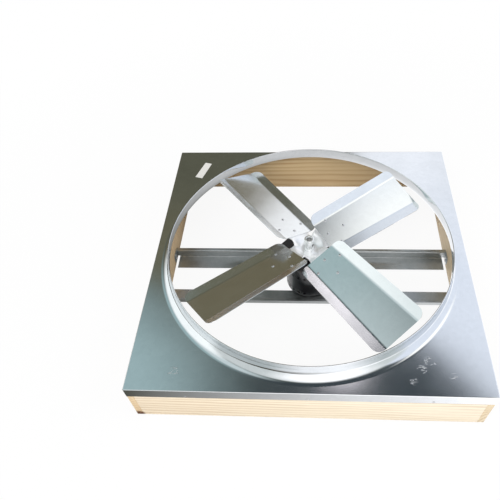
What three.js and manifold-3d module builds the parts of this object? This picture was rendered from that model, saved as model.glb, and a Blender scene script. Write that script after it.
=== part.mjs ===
// Whole house fan: a square pine frame, a drawn steel venturi panel nailed over it, two steel struts
// screwed across it, an upright motor bolted to the struts, and a four-blade fan on the motor's shaft.
// Millimetres. +Z is up, the way the air is blown. The origin is the centre of the frame's underside.

import * as THREE from "three";
import { mergeVertices } from "three/addons/utils/BufferGeometryUtils.js";
import Module from "manifold-3d";

const wasm = await Module();
wasm.setup();

// ---- Driving dimensions ---------------------------------------------------------------------------

// Clearances
const holeClearance = 0.3; // a nail, screw, bolt or rivet in its hole, on the radius
const seatGap = 0.3; // between pieces that lie on each other in a turned group
const slipFit = 0.15; // a pressed or slid round piece, on the radius
const bearingClearance = 0.05; // the shaft in its bearings, on the radius

// Venturi panel: 18 gauge galvanised sheet
const panelMargin = 18; // flat sheet from the drawn corner to the panel's edge, at its narrowest
const panelSheet = 1.2;
const skirtDepth = 33.5; // from the top face down
const mouthRadius = 387.4; // inside of the bell-mouth at its lip
const mouthHeight = 47.1; // lip above the panel's top face
const mouthFillet = 29; // radius of the drawn corner, to the middle of the sheet
const lipCurl = 1; // radius of the lip's folded hem, to the middle of the sheet
const mouthOverlap = 3; // the mouth's own sheet runs this far into the flat, where the two are one
const mouthSteps = 48;

// Pine frame: nominal one-by-six boards
const boardHeight = 139.7;
const boardThick = 16;
const skirtGap = 0.3; // skirt to board

// Nails, screws and rivets
const fastenerSides = 6;
const nailShank = 1.4;
const skirtNailHead = 3.4;
const skirtNailHeadThick = 1.1;
const skirtNailLength = 14;
const skirtNailDrop = 28.5; // below the panel's top face
const skirtNailInset = 144; // outer nails from the panel's corners
const cornerNailHead = 3.6;
const cornerNailHeadThick = 1;
const cornerNailLength = 58;
const cornerNailHeights = [30, 82];

// Struts: bent galvanised strip
const strutSheet = 1.5;
const strutBend = 3; // bend radius to the middle of the sheet
const strutFlangeTop = 6; // top of the motor flange above the frame's underside
const strutInnerEdge = 42; // motor flange's free edge, from the middle of the fan
const strutWeb = 88; // inside of the upright web, from the middle of the fan
const strutHeight = 33; // top of the lip above the frame's underside
const strutLip = 11;
const strutEndRelief = 8.5; // the motor flange stops this short of the board
const tabInnerEdge = 57; // end tab's free edge, from the middle of the fan
const tabLow = 8;
const tabHigh = 37;
const tabCorner = 5;
const tabScrewOut = 71; // tab screws from the middle of the fan
const tabScrewHeights = [15, 30];
const screwShank = 1.9;
const screwHead = 4.4;
const screwHeadThick = 2.6;
const screwLength = 13;

// Motor
const motorRadius = 66;
const shellWall = 1.6;
const rearBellHeight = 26;
const shellLength = 78;
const driveBellHeight = 14;
const bellFloor = 4;
const bellWall = 3.5;
const bellShoulder = 5; // rounded outer corner of each end bell
const bearingSeatRadius = 22;
const bearingSeatRise = 12; // drive end bearing seat above its bell
const bearingRadius = 17.5;
const bearingLength = 11;
const bearingInset = 2.5; // outer end of the bearing from the outside of its seat
const bearingSeatBack = 3; // seat beyond the bearing's inner end
const seatChamfer = 1.5;
const throughBoltPitchRadius = 58;
const throughBoltAngle = 60; // degrees from the strut's direction
const throughBoltShank = 2.5;
const throughBoltHead = 4.6;
const throughBoltHeadThick = 3.4;
const throughBoltTail = 5.2; // below the motor's foot
const nutHeight = 3.4;
const ventRadius = 4;
const ventPitch = 16; // degrees
const ventsInRow = 5;
const ventMiddles = [47.3, 227.3]; // degrees, middles of the two groups of vents
const shellVentHeight = 82; // above the motor's foot
const bellVentHeight = 15.5;

// Inside the motor
const statorBore = 37;
const statorSeat = 30; // underside of the core above the motor's foot
const statorLength = 44;
const statorSlots = 12;
const slotWidth = 8;
const slotDepth = 11;
const slotInset = 2.5; // slot from the bore
const boltPassage = 4.2; // radius of the ways for the long bolts through the core
const endTurnHeight = 13;
const windingGap = 0.6;
const airGap = 0.6;
const shaftRadius = 7.94; // 5/8 inch shaft
const shaftTopInset = 2.5; // shaft end below the top of the hub boss

// Capacitor box on the motor's side
const boxAzimuth = 140;
const boxDepth = 28;
const boxWidth = 50;
const boxLow = 40; // above the motor's foot
const boxHigh = 106;
const boxCorner = 5;

// Hub boss and spider
const hubTop = 190; // above the frame's underside
const hubRadius = 13.5;
const hubFootRadius = 23;
const hubFootThick = 4;
const setScrewRadius = 4.6;
const setScrewAzimuth = -33.6;
const setScrewBelowTop = 18.2;
const setScrewInset = 2; // outer end of the set screw from the boss's side
const spiderThick = 3;
const discTop = 150; // flat centre of the spider, above the frame's underside
const discRadius = 20;
const spiderWaist = 42; // from the middle to the edge between two arms
const waistDrop = 4.4; // edge between two arms, below the arms' middle lines
const armNeckHalfWidth = 30.5; // where the arm leaves the dished centre
const armWingRadius = 90; // where the arm is widest
const armHalfWidth = 50; // there
const armTipRadius = 137;

// Blades
const bladeCount = 4;
const restAzimuth = -51.6; // first blade at rest
const bladePitch = 17; // the trailing edge is the high one
const bladeFaceHeight = 164; // top face at its middle line, above the frame's underside
const bladeSheet = 1.2;
const bladeRoot = 48; // inner end from the middle of the fan
const tipClearance = 21.4; // blade tip to the mouth
const rootHalfWidth = 71;
const tipHalfWidth = 79;
const rootFlange = 28; // width of the bent edge, from the outer edge to the crease
const tipFlange = 27;
const creaseHalfWidth = 3; // the crease is rounded this far to each side
const edgeBend = 15; // degrees, up
const bladeCorner = 22;
const innerRivetRadius = 68.5; // four rivets to a blade, in a diamond
const sideRivetRadius = 88;
const sideRivetOffset = 39; // from the blade's middle line
const outerRivetRadius = 124.3;
const rivetShank = 2.3;
const rivetHead = 4;
const rivetHeadThick = 1.7;
const rivetTail = 1.6; // length below the spider's arm

// ---- Sizes that follow from them ------------------------------------------------------------------

const mouthWall = mouthRadius + panelSheet / 2; // radius to the middle of the mouth's sheet
const panelHalf = mouthWall + mouthFillet + panelMargin;
const panelTop = boardHeight + panelSheet;
const boardOuter = panelHalf - panelSheet - skirtGap;
const boardInner = boardOuter - boardThick;
const motorFoot = strutFlangeTop;
const shellLow = motorFoot + rearBellHeight;
const shellHigh = shellLow + shellLength;
const motorTop = shellHigh + driveBellHeight;
const radians = Math.PI / 180;

// ---- Materials ------------------------------------------------------------------------------------

function finish(color, roughness, metalness) {
  return new THREE.MeshStandardMaterial({ color, roughness, metalness });
}
const galvanised = finish(0xa9b1b4, 0.35, 0.9);
const strutSteel = finish(0x7d8482, 0.45, 0.9);
const bladeSteel = finish(0xb9c3c4, 0.35, 0.9);
const hubSteel = finish(0xc4c9cb, 0.3, 0.95);
const pine = finish(0xd8bf95, 0.75, 0);
const blackPaint = finish(0x232425, 0.4, 0.1);
const boltSteel = finish(0x9a9d9e, 0.4, 0.9);
const laminations = finish(0x55585a, 0.6, 0.6);
const copper = finish(0x9c5a32, 0.5, 0.6);

// ---- Solids ---------------------------------------------------------------------------------------

// A closed geometry as a solid that can be joined and cut.
function toSolid(geometry) {
  const bare = geometry.clone();
  bare.deleteAttribute("normal");
  bare.deleteAttribute("uv");
  const merged = mergeVertices(bare, 1e-4);
  const all = Array.from(merged.index.array);
  const triangles = Array.from({ length: all.length / 3 }, (_, i) => all.slice(3 * i, 3 * i + 3));
  const corners = new Uint32Array(triangles.filter((t) => new Set(t).size === 3).flat());
  const make = () =>
    new wasm.Manifold(
      new wasm.Mesh({
        numProp: 3,
        vertProperties: new Float32Array(merged.attributes.position.array),
        triVerts: corners,
      }),
    );
  const solid = make();
  if (solid.volume() > 0) return solid;
  for (let i = 0; i < corners.length; i += 3) {
    [corners[i + 1], corners[i + 2]] = [corners[i + 2], corners[i + 1]];
  }
  return make();
}

function toGeometry(solid) {
  const mesh = solid.getMesh();
  const geometry = new THREE.BufferGeometry();
  geometry.setAttribute("position", new THREE.BufferAttribute(mesh.vertProperties, 3));
  geometry.setIndex(new THREE.BufferAttribute(mesh.triVerts, 1));
  geometry.computeVertexNormals();
  return geometry;
}

function join(first, ...others) {
  return others.reduce((sum, other) => sum.add(other), first);
}

function cut(body, ...tools) {
  return tools.reduce((rest, tool) => rest.subtract(tool), body);
}

function box([x0, x1], [y0, y1], [z0, z1]) {
  const geometry = new THREE.BoxGeometry(x1 - x0, y1 - y0, z1 - z0);
  geometry.translate((x0 + x1) / 2, (y0 + y1) / 2, (z0 + z1) / 2);
  return toSolid(geometry);
}

// An upright round bar about the Z axis.
function bar(radius, low, high, sides = 24) {
  const geometry = new THREE.CylinderGeometry(radius, radius, high - low, sides);
  geometry.rotateX(Math.PI / 2);
  geometry.translate(0, 0, (low + high) / 2);
  return toSolid(geometry);
}

// A closed outline of [radius, height] points turned about the Z axis.
function turned(outline, sides) {
  const closed = [...outline, outline[0]].map(([r, z]) => new THREE.Vector2(r, z));
  const geometry = new THREE.LatheGeometry(closed, sides);
  geometry.rotateX(Math.PI / 2);
  return toSolid(geometry);
}

// A profile of [radius, height] points that starts and ends on the Z axis, turned about it.
function turnedFromAxis(profile, sides) {
  const points = profile.map(([r, z]) => new THREE.Vector2(r, z));
  const geometry = new THREE.LatheGeometry(points, sides);
  geometry.rotateX(Math.PI / 2);
  return toSolid(geometry);
}

// Points on an arc about [x, y], from one angle to another in degrees.
function arc([x, y], radius, from, to, steps) {
  return Array.from({ length: steps + 1 }, (_, i) => {
    const angle = (from + ((to - from) * i) / steps) * radians;
    return [x + radius * Math.cos(angle), y + radius * Math.sin(angle)];
  });
}

// The outline of a bent sheet, from the line along its middle and its thickness.
function sheetOutline(middle, thickness) {
  const normals = middle.map((_, i) => {
    const [ax, ay] = middle[Math.max(i - 1, 0)];
    const [bx, by] = middle[Math.min(i + 1, middle.length - 1)];
    const length = Math.hypot(bx - ax, by - ay);
    return [(ay - by) / length, (bx - ax) / length];
  });
  const side = (sign) =>
    middle.map(([x, y], i) => [
      x + (sign * normals[i][0] * thickness) / 2,
      y + (sign * normals[i][1] * thickness) / 2,
    ]);
  return [...side(1), ...side(-1).reverse()];
}

// A solid with one cross-section of [y, z] points along X.
function alongX(outline, [x0, x1]) {
  const shape = new THREE.Shape(outline.map(([y, z]) => new THREE.Vector2(y, z)));
  const geometry = new THREE.ExtrudeGeometry(shape, { depth: x1 - x0, bevelEnabled: false });
  geometry.applyMatrix4(
    new THREE.Matrix4().makeBasis(
      new THREE.Vector3(0, 1, 0),
      new THREE.Vector3(0, 0, 1),
      new THREE.Vector3(1, 0, 0),
    ),
  );
  geometry.translate(x0, 0, 0);
  return toSolid(geometry);
}

// A matrix that takes the Z axis to the given direction and the origin to the given point.
function aimed(point, direction) {
  const turn = new THREE.Quaternion().setFromUnitVectors(
    new THREE.Vector3(0, 0, 1),
    new THREE.Vector3(...direction).normalize(),
  );
  return new THREE.Matrix4().compose(new THREE.Vector3(...point), turn, new THREE.Vector3(1, 1, 1));
}

function moved(solid, matrix) {
  return solid.transform(matrix.elements);
}

// A point at a radius and an angle about the Z axis.
function polar(radius, degrees) {
  return [radius * Math.cos(degrees * radians), radius * Math.sin(degrees * radians)];
}

// ---- The scene graph ------------------------------------------------------------------------------

const fan = new THREE.Group();
const rotor = new THREE.Group();
fan.add(rotor);

function place(group, name, solid, material, matrix = new THREE.Matrix4()) {
  const mesh = new THREE.Mesh(toGeometry(solid), material);
  mesh.name = name;
  mesh.applyMatrix4(matrix);
  group.add(mesh);
}

// ---- Fasteners ------------------------------------------------------------------------------------

// A nail or screw along -Z with the underside of its head at the origin.
function headed({ shank, head, headThick, length }) {
  return turnedFromAxis(
    [
      [0, -length],
      [shank, 2 * shank - length],
      [shank, 0],
      [head, 0],
      [head * 0.75, headThick],
      [0, headThick],
    ],
    fastenerSides,
  );
}

function fastenerHole({ shank, length }, past) {
  return bar(shank + holeClearance, -length - holeClearance, past, fastenerSides);
}

// The four sides of the frame, named as they are seen from the front.
const sides = [
  { name: "front", outward: [0, -1], along: [1, 0] },
  { name: "right", outward: [1, 0], along: [0, 1] },
  { name: "back", outward: [0, 1], along: [-1, 0] },
  { name: "left", outward: [-1, 0], along: [0, -1] },
];

const skirtNail = {
  shank: nailShank,
  head: skirtNailHead,
  headThick: skirtNailHeadThick,
  length: skirtNailLength,
};
const skirtNails = sides.flatMap(({ name, outward, along }) =>
  [-1, 0, 1].map((step, i) => {
    const aside = step * (panelHalf - skirtNailInset);
    const point = [
      outward[0] * panelHalf + along[0] * aside,
      outward[1] * panelHalf + along[1] * aside,
      panelTop - skirtNailDrop,
    ];
    return { name: `skirt_nail_${name}_${i + 1}`, matrix: aimed(point, [...outward, 0]) };
  }),
);

const cornerNail = {
  shank: nailShank,
  head: cornerNailHead,
  headThick: cornerNailHeadThick,
  length: cornerNailLength,
};
const cornerNails = [-1, 1].flatMap((x) =>
  [-1, 1].flatMap((y) =>
    cornerNailHeights.map((height, i) => {
      const point = [x * boardOuter, y * (boardOuter - boardThick / 2), height];
      const corner = `${y < 0 ? "front" : "back"}_${x < 0 ? "left" : "right"}`;
      return { name: `corner_nail_${corner}_${i + 1}`, matrix: aimed(point, [x, 0, 0]) };
    }),
  ),
);

const strutScrew = {
  shank: screwShank,
  head: screwHead,
  headThick: screwHeadThick,
  length: screwLength,
};
const strutScrews = [-1, 1].flatMap((x) =>
  [-1, 1].flatMap((y) =>
    tabScrewHeights.map((height, i) => {
      const point = [x * (boardInner - strutSheet), y * tabScrewOut, height];
      const end = `${y < 0 ? "front" : "rear"}_${x < 0 ? "left" : "right"}`;
      return { name: `strut_screw_${end}_${i + 1}`, matrix: aimed(point, [-x, 0, 0]) };
    }),
  ),
);

function addFasteners(list, size) {
  for (const { name, matrix } of list) place(fan, name, headed(size), boltSteel, matrix);
}

// The holes that a list of like fasteners needs, reaching a little way above their heads.
function holesFor(list, size, past = 2) {
  return list.map(({ matrix }) => moved(fastenerHole(size, past), matrix));
}

// ---- Pine frame -----------------------------------------------------------------------------------

function addFrame() {
  const holes = [
    ...holesFor(skirtNails, skirtNail),
    ...holesFor(cornerNails, cornerNail, 0.5),
    ...holesFor(strutScrews, strutScrew),
  ];
  const upright = [0, boardHeight];
  const boards = {
    frame_board_left: box([-boardOuter, -boardInner], [-boardOuter, boardOuter], upright),
    frame_board_right: box([boardInner, boardOuter], [-boardOuter, boardOuter], upright),
    frame_board_front: box([-boardInner, boardInner], [-boardOuter, -boardInner], upright),
    frame_board_back: box([-boardInner, boardInner], [boardInner, boardOuter], upright),
  };
  for (const [name, board] of Object.entries(boards)) place(fan, name, cut(board, ...holes), pine);
}

// ---- Venturi panel --------------------------------------------------------------------------------

function addPanel() {
  const half = panelHalf;
  const middle = panelTop - panelSheet / 2;
  const filletCentre = [mouthWall + mouthFillet, middle + mouthFillet];
  const curlCentre = [mouthWall + lipCurl, panelTop + mouthHeight - lipCurl - panelSheet / 2];
  const path = [
    [filletCentre[0] + mouthOverlap, middle],
    ...arc(filletCentre, mouthFillet, 270, 180, 5),
    ...arc(curlCentre, lipCurl, 180, -30, 3),
  ];
  const mouth = turned(sheetOutline(path, panelSheet), mouthSteps);
  const holeRadius = filletCentre[0] + mouthOverlap / 2;
  const flatHole = bar(holeRadius, boardHeight - panelSheet, panelTop + panelSheet, mouthSteps);
  const skirtLow = panelTop - skirtDepth;
  const shell = cut(
    box([-half, half], [-half, half], [skirtLow, panelTop]),
    box(
      [-half + panelSheet, half - panelSheet],
      [-half + panelSheet, half - panelSheet],
      [skirtLow - panelSheet, boardHeight],
    ),
    flatHole,
  );
  const nailHoles = holesFor(skirtNails, skirtNail);
  place(fan, "venturi_panel", cut(join(shell, mouth), ...nailHoles), galvanised);
}

// ---- Struts ---------------------------------------------------------------------------------------

// The four long motor bolts, by their place in plan.
const throughBolts = [-1, 1].flatMap((y) =>
  [-1, 1].map((x) => {
    const [across, out] = polar(throughBoltPitchRadius, throughBoltAngle);
    return { name: `${y < 0 ? "front" : "rear"}_${x < 0 ? "left" : "right"}`, at: [x * across, y * out] };
  }),
);

function boltHole([x, y], low, high) {
  return bar(throughBoltShank + holeClearance, low, high, 8).translate([x, y, 0]);
}

// The rear strut. The front one is its mirror image.
function rearStrut() {
  const t = strutSheet;
  const flangeMiddle = strutFlangeTop - t / 2;
  const webMiddle = strutWeb + t / 2;
  const lipMiddle = strutHeight - t / 2;
  const path = [
    [strutInnerEdge, flangeMiddle],
    ...arc([webMiddle - strutBend, flangeMiddle + strutBend], strutBend, -90, 0, 3),
    ...arc([webMiddle + strutBend, lipMiddle - strutBend], strutBend, 180, 90, 3),
    [strutWeb + strutLip, lipMiddle],
  ];
  const relief = boardInner - strutEndRelief;
  const section = alongX(sheetOutline(path, t), [-boardInner, boardInner]);
  const ends = [-1, 1].flatMap((x) => {
    const span = (a, b) => [Math.min(x * a, x * b), Math.max(x * a, x * b)];
    const low = strutFlangeTop + strutBend;
    const flangeEnd = box(span(relief, boardInner + 1), [0, strutWeb + strutLip], [0, low]);
    return { flangeEnd, span };
  });
  const cropped = cut(section, ...ends.map(({ flangeEnd }) => flangeEnd));
  const tabs = ends.map(({ span }) =>
    alongX(
      [
        [webMiddle, tabLow],
        ...arc([tabInnerEdge + tabCorner, tabLow + tabCorner], tabCorner, 270, 180, 3),
        ...arc([tabInnerEdge + tabCorner, tabHigh - tabCorner], tabCorner, 180, 90, 3),
        [webMiddle, tabHigh],
      ],
      span(boardInner - t, boardInner),
    ),
  );
  return join(cropped, ...tabs);
}

function addStruts() {
  const rear = rearStrut();
  const bolts = throughBolts.map(({ at }) => boltHole(at, 0, strutHeight));
  const screws = holesFor(strutScrews, strutScrew);
  place(fan, "strut_rear", cut(rear, ...bolts, ...screws), strutSteel);
  place(fan, "strut_front", cut(rear.mirror([0, 1, 0]), ...bolts, ...screws), strutSteel);
}

// ---- Motor ----------------------------------------------------------------------------------------

const motorSides = 24;

// The outline of an end bell as a cup with its floor at the bottom and its bearing seat in the middle.
function bellOutline(height, seatRise) {
  const seatBack = bearingInset + bearingLength + bearingSeatBack - seatRise;
  const bore = bearingRadius + slipFit;
  const shaftHole = shaftRadius + bearingInset;
  const raisedSeat = [
    [bearingSeatRadius - seatChamfer, -seatRise],
    [bearingSeatRadius, seatChamfer - seatRise],
    [bearingSeatRadius, 0],
  ];
  return [
    [shaftHole, -seatRise],
    ...(seatRise > 0 ? raisedSeat : []),
    ...arc([motorRadius - bellShoulder, bellShoulder], bellShoulder, 270, 360, 2),
    [motorRadius, height],
    [motorRadius - bellWall, height],
    [motorRadius - bellWall, bellFloor],
    [bearingSeatRadius, bellFloor],
    [bearingSeatRadius, seatBack],
    [bore, seatBack],
    [bore, bearingInset - seatRise],
    [shaftHole, bearingInset - seatRise],
  ];
}

// Round vent holes through the motor's side, in a row at one height.
function vents(height) {
  return ventMiddles.flatMap((middle) =>
    Array.from({ length: ventsInRow }, (_, i) => {
      const [x, y] = polar(motorRadius, middle + (i - (ventsInRow - 1) / 2) * ventPitch);
      const hole = bar(ventRadius, -2 * bellWall, bellWall, 8);
      return moved(hole, aimed([x, y, motorFoot + height], [x, y, 0]));
    }),
  );
}

function addMotorHousing() {
  const bolts = throughBolts.map(({ at }) => boltHole(at, 0, motorTop + 1));
  const rear = turned(bellOutline(rearBellHeight, 0), motorSides).translate([0, 0, motorFoot]);
  place(fan, "motor_rear_bell", cut(rear, ...bolts, ...vents(bellVentHeight)), blackPaint);

  const shell = turned(
    [
      [motorRadius, shellLow],
      [motorRadius, shellHigh],
      [motorRadius - shellWall, shellHigh],
      [motorRadius - shellWall, shellLow],
    ],
    motorSides,
  );
  place(fan, "motor_shell", cut(shell, ...vents(shellVentHeight)), blackPaint);

  const drive = turned(bellOutline(driveBellHeight, bearingSeatRise), motorSides)
    .mirror([0, 0, 1])
    .translate([0, 0, motorTop]);
  place(fan, "motor_drive_bell", cut(drive, ...bolts), blackPaint);
}

const statorLow = motorFoot + statorSeat;
const statorHigh = statorLow + statorLength;

// A bar of the stator's slot shape, narrower by a clearance all round.
function slotBar(index, clearance, low, high) {
  const inner = statorBore + slotInset + clearance;
  const outer = statorBore + slotInset + slotDepth - clearance;
  const half = slotWidth / 2 - clearance;
  return box([inner, outer], [-half, half], [low, high]).rotate([0, 0, (index * 360) / statorSlots]);
}

function addMotorInside() {
  const slots = Array.from({ length: statorSlots }, (_, i) => i);
  const statorRadius = motorRadius - shellWall - slipFit;
  const core = turned(
    [
      [statorBore, statorLow],
      [statorRadius, statorLow],
      [statorRadius, statorHigh],
      [statorBore, statorHigh],
    ],
    motorSides,
  );
  const passages = throughBolts.map(({ at: [x, y] }) =>
    bar(boltPassage, statorLow - 1, statorHigh + 1, 8).translate([x, y, 0]),
  );
  const openings = slots.map((i) => slotBar(i, 0, statorLow - 1, statorHigh + 1));
  place(fan, "stator_core", cut(core, ...passages, ...openings), laminations);

  // The end turns stand clear of the core and are joined by the bars in its slots.
  const ringMiddle = statorBore + slotInset + slotDepth / 2;
  const ringHalf = slotDepth / 2 + 1;
  const endTurns = [
    [statorLow - windingGap - endTurnHeight, statorLow - windingGap],
    [statorHigh + windingGap, statorHigh + windingGap + endTurnHeight],
  ].map(([low, high]) => {
    const squash = (high - low) / 2;
    const outline = arc([0, 0], 1, 30, 330, 4).map(([r, z]) => [
      ringMiddle + ringHalf * r,
      (low + high) / 2 + squash * z,
    ]);
    return turned(outline, 2 * statorSlots);
  });
  const reach = endTurnHeight / 2 + windingGap;
  const bars = slots.map((i) => slotBar(i, windingGap, statorLow - reach, statorHigh + reach));
  place(fan, "stator_winding", join(...endTurns, ...bars), copper);

  // The bore's flats, not its corners, stand clear of the shaft.
  const bearingBore = (shaftRadius + bearingClearance) / Math.cos(Math.PI / motorSides);
  const bearing = (low) =>
    turned(
      [
        [bearingBore, low],
        [bearingRadius, low],
        [bearingRadius, low + bearingLength],
        [bearingBore, low + bearingLength],
      ],
      motorSides,
    );
  place(fan, "bearing_rear", bearing(motorFoot + bearingInset), boltSteel);
  const driveSeatTop = motorTop + bearingSeatRise;
  place(fan, "bearing_drive", bearing(driveSeatTop - bearingInset - bearingLength), boltSteel);
}

function addThroughBolts() {
  const nutHigh = strutFlangeTop - strutSheet;
  for (const { name, at } of throughBolts) {
    const centre = new THREE.Matrix4().makeTranslation(...at, 0);
    const shank = bar(throughBoltShank, motorFoot - throughBoltTail, motorTop, 8);
    const head = bar(throughBoltHead, motorTop, motorTop + throughBoltHeadThick, 6);
    place(fan, `motor_bolt_${name}`, join(shank, head), boltSteel, centre);
    const nut = bar(throughBoltHead, nutHigh - nutHeight, nutHigh, 6);
    place(fan, `motor_nut_${name}`, cut(nut, boltHole([0, 0], 0, nutHigh + 1)), boltSteel, centre);
  }
}

function addCapacitorBox() {
  const half = boxWidth / 2;
  const far = motorRadius + seatGap + boxDepth;
  const outline = [
    [motorRadius - boxCorner, -half],
    ...arc([far - boxCorner, boxCorner - half], boxCorner, -90, 0, 3),
    ...arc([far - boxCorner, half - boxCorner], boxCorner, 0, 90, 3),
    [motorRadius - boxCorner, half],
  ];
  const shape = new THREE.Shape(outline.map(([x, y]) => new THREE.Vector2(x, y)));
  const geometry = new THREE.ExtrudeGeometry(shape, { depth: boxHigh - boxLow, bevelEnabled: false });
  const body = toSolid(geometry.rotateZ(boxAzimuth * radians).translate(0, 0, motorFoot + boxLow));
  const motorRoom = bar(motorRadius + seatGap, motorFoot, motorTop, 2 * motorSides);
  place(fan, "capacitor_box", cut(body, motorRoom), blackPaint);
}

// ---- Turning group: shaft, rotor core, hub boss and set screw ---------------------------------------

function addShaft() {
  const low = motorFoot + bearingInset;
  place(rotor, "motor_shaft", bar(shaftRadius, low, hubTop - shaftTopInset, motorSides), hubSteel);

  const coreRadius = statorBore - airGap;
  const bore = shaftRadius + slipFit;
  const core = turned(
    [
      [bore, statorLow],
      [coreRadius, statorLow],
      [coreRadius, statorHigh],
      [bore, statorHigh],
    ],
    motorSides,
  );
  place(rotor, "rotor_core", core, laminations);
}

function addHub() {
  const footTop = discTop - spiderThick;
  const bore = shaftRadius + slipFit;
  const boss = turned(
    [
      [bore, footTop - hubFootThick],
      [hubFootRadius, footTop - hubFootThick],
      [hubFootRadius, footTop],
      [hubRadius, footTop],
      [hubRadius, hubTop - seatChamfer],
      [hubRadius - seatChamfer, hubTop],
      [bore, hubTop],
    ],
    motorSides,
  );
  const height = hubTop - setScrewBelowTop;
  const [dx, dy] = polar(1, setScrewAzimuth);
  const outward = aimed([0, 0, height], [dx, dy, 0]);
  const screwHole = moved(bar(setScrewRadius + holeClearance, 0, 2 * hubRadius, 8), outward);
  place(rotor, "hub_boss", cut(boss, screwHole), hubSteel);

  const inner = shaftRadius + seatGap;
  const socket = bar(setScrewRadius / 2, (inner + hubRadius) / 2, hubRadius, 6);
  const screw = cut(bar(setScrewRadius, inner, hubRadius - setScrewInset, 8), socket);
  place(rotor, "hub_set_screw", screw, blackPaint, outward);
}

// ---- Turning group: spider and blades ----------------------------------------------------------------

const armAngles = Array.from({ length: bladeCount }, (_, i) => restAzimuth + (i * 360) / bladeCount);
const pitchSlope = Math.tan(bladePitch * radians);
const armSeat = bladeSheet + seatGap; // the spider's arms below the blades' top faces

// From a blade's own frame (X outward, Y to its high edge, Z up from its face) to the fan's.
function bladeFrame(azimuth) {
  const turn = new THREE.Matrix4().makeRotationZ(azimuth * radians);
  const lift = new THREE.Matrix4().makeTranslation(0, 0, bladeFaceHeight);
  return turn.multiply(lift).multiply(new THREE.Matrix4().makeRotationX(bladePitch * radians));
}

// A plate of even thickness under a grid of points, given row by row. A closed one comes back to
// its first row after its last.
function plate(rows, thickness, closed) {
  const across = rows[0].length;
  const top = rows.flat();
  const bottom = top.map(([x, y, z]) => [x, y, z - thickness]);
  const corners = [];
  const quad = (a, b, c, d) => corners.push(a, b, c, a, c, d);
  const upper = (i, j) => (i % rows.length) * across + j;
  const lower = (i, j) => top.length + upper(i, j);
  const spans = closed ? rows.length : rows.length - 1;
  for (let i = 0; i < spans; i++) {
    for (let j = 0; j < across - 1; j++) {
      quad(upper(i, j), upper(i + 1, j), upper(i + 1, j + 1), upper(i, j + 1));
      quad(lower(i, j), lower(i, j + 1), lower(i + 1, j + 1), lower(i + 1, j));
    }
    const last = across - 1;
    quad(upper(i, 0), lower(i, 0), lower(i + 1, 0), upper(i + 1, 0));
    quad(upper(i, last), upper(i + 1, last), lower(i + 1, last), lower(i, last));
  }
  if (!closed) {
    for (let j = 0; j < across - 1; j++) {
      quad(upper(0, j), upper(0, j + 1), lower(0, j + 1), lower(0, j));
      quad(upper(spans, j), lower(spans, j), lower(spans, j + 1), upper(spans, j + 1));
    }
  }
  const geometry = new THREE.BufferGeometry();
  const positions = new Float32Array([...top, ...bottom].flat());
  geometry.setAttribute("position", new THREE.BufferAttribute(positions, 3));
  geometry.setIndex(corners);
  return toSolid(geometry);
}

const armNeck = [bladeRoot - 1, armNeckHalfWidth];
const neckAngle = Math.atan2(armNeck[1], armNeck[0]) / radians;
const waistAngle = 180 / bladeCount;
const bladeTip = mouthRadius - tipClearance;

// Half of one arm's edge as points in plan, from the waist beside it to its tip.
function halfArmEdge() {
  const neckReach = Math.hypot(...armNeck);
  const throat = [1, 0.45].map((share) => {
    const reach = spiderWaist + (neckReach - spiderWaist) * (1 - share) ** 2;
    return polar(reach, neckAngle + (waistAngle - neckAngle) * share);
  });
  const tip = arc([0, 0], 1, 90, 0, 3).map(([across, out]) => [
    armWingRadius + (armTipRadius - armWingRadius) * across,
    armHalfWidth * out,
  ]);
  return [...throat, armNeck, ...tip];
}

// Height of the spider's top face at a point in plan, seen from the nearest arm.
function spiderHeight([x, y]) {
  const { lerp, smoothstep } = THREE.MathUtils;
  const offArm = Math.abs(Math.atan2(y, x)) / radians;
  const twist = 1 - smoothstep(offArm, neckAngle, waistAngle);
  const arm = bladeFaceHeight - armSeat / Math.cos(bladePitch * radians) + y * pitchSlope * twist;
  const rise = smoothstep(Math.hypot(x, y), discRadius, bladeRoot - 2);
  return lerp(discTop, arm - waistDrop * (1 - twist), rise);
}

// One radial line of the spider's top face, from the boss to the edge point given for one arm.
function spiderRow(edge, azimuth) {
  const reach = Math.hypot(...edge);
  const angle = Math.atan2(edge[1], edge[0]) / radians;
  const dish = [0, 0.45, 0.9].map((share) => discRadius + (spiderWaist - discRadius) * share);
  const shoulder = Math.min(bladeRoot - 2, (dish.at(-1) + reach) / 2);
  return [hubRadius + slipFit, ...dish, shoulder, reach].map((radius) => [
    ...polar(radius, angle + azimuth),
    spiderHeight(polar(radius, angle)),
  ]);
}

const rivetPlaces = [
  [innerRivetRadius, 0],
  [sideRivetRadius, -sideRivetOffset],
  [sideRivetRadius, sideRivetOffset],
  [outerRivetRadius, 0],
];

// A rivet in a blade's frame, from its end below the arm to its head above the blade.
function rivet([x, y]) {
  const low = -armSeat - spiderThick - rivetTail;
  const body = turnedFromAxis(
    [
      [0, low],
      [rivetShank, low],
      [rivetShank, seatGap],
      [rivetHead, seatGap],
      [rivetHead * 0.75, rivetHeadThick],
      [0, rivetHeadThick],
    ],
    fastenerSides,
  );
  return body.translate([x, y, 0]);
}

function addSpider() {
  const low = halfArmEdge().map(([x, y]) => [x, -y]);
  const high = halfArmEdge().slice(1, -1).reverse();
  const rows = armAngles.flatMap((azimuth) => [...low, ...high].map((edge) => spiderRow(edge, azimuth)));
  const rivets = armAngles.flatMap((azimuth) =>
    rivetPlaces.map((at) => moved(rivet(at), bladeFrame(azimuth))),
  );
  place(rotor, "spider", join(plate(rows, spiderThick, true), ...rivets), hubSteel);
}

// Half the blade's width at a distance out, with its four corners rounded.
function bladeHalfWidth(out) {
  const { lerp } = THREE.MathUtils;
  const width = lerp(rootHalfWidth, tipHalfWidth, (out - bladeRoot) / (bladeTip - bladeRoot));
  const short = bladeCorner - Math.min(out - bladeRoot, bladeTip - out, bladeCorner);
  return width - bladeCorner + Math.sqrt(bladeCorner ** 2 - short ** 2);
}

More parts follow.
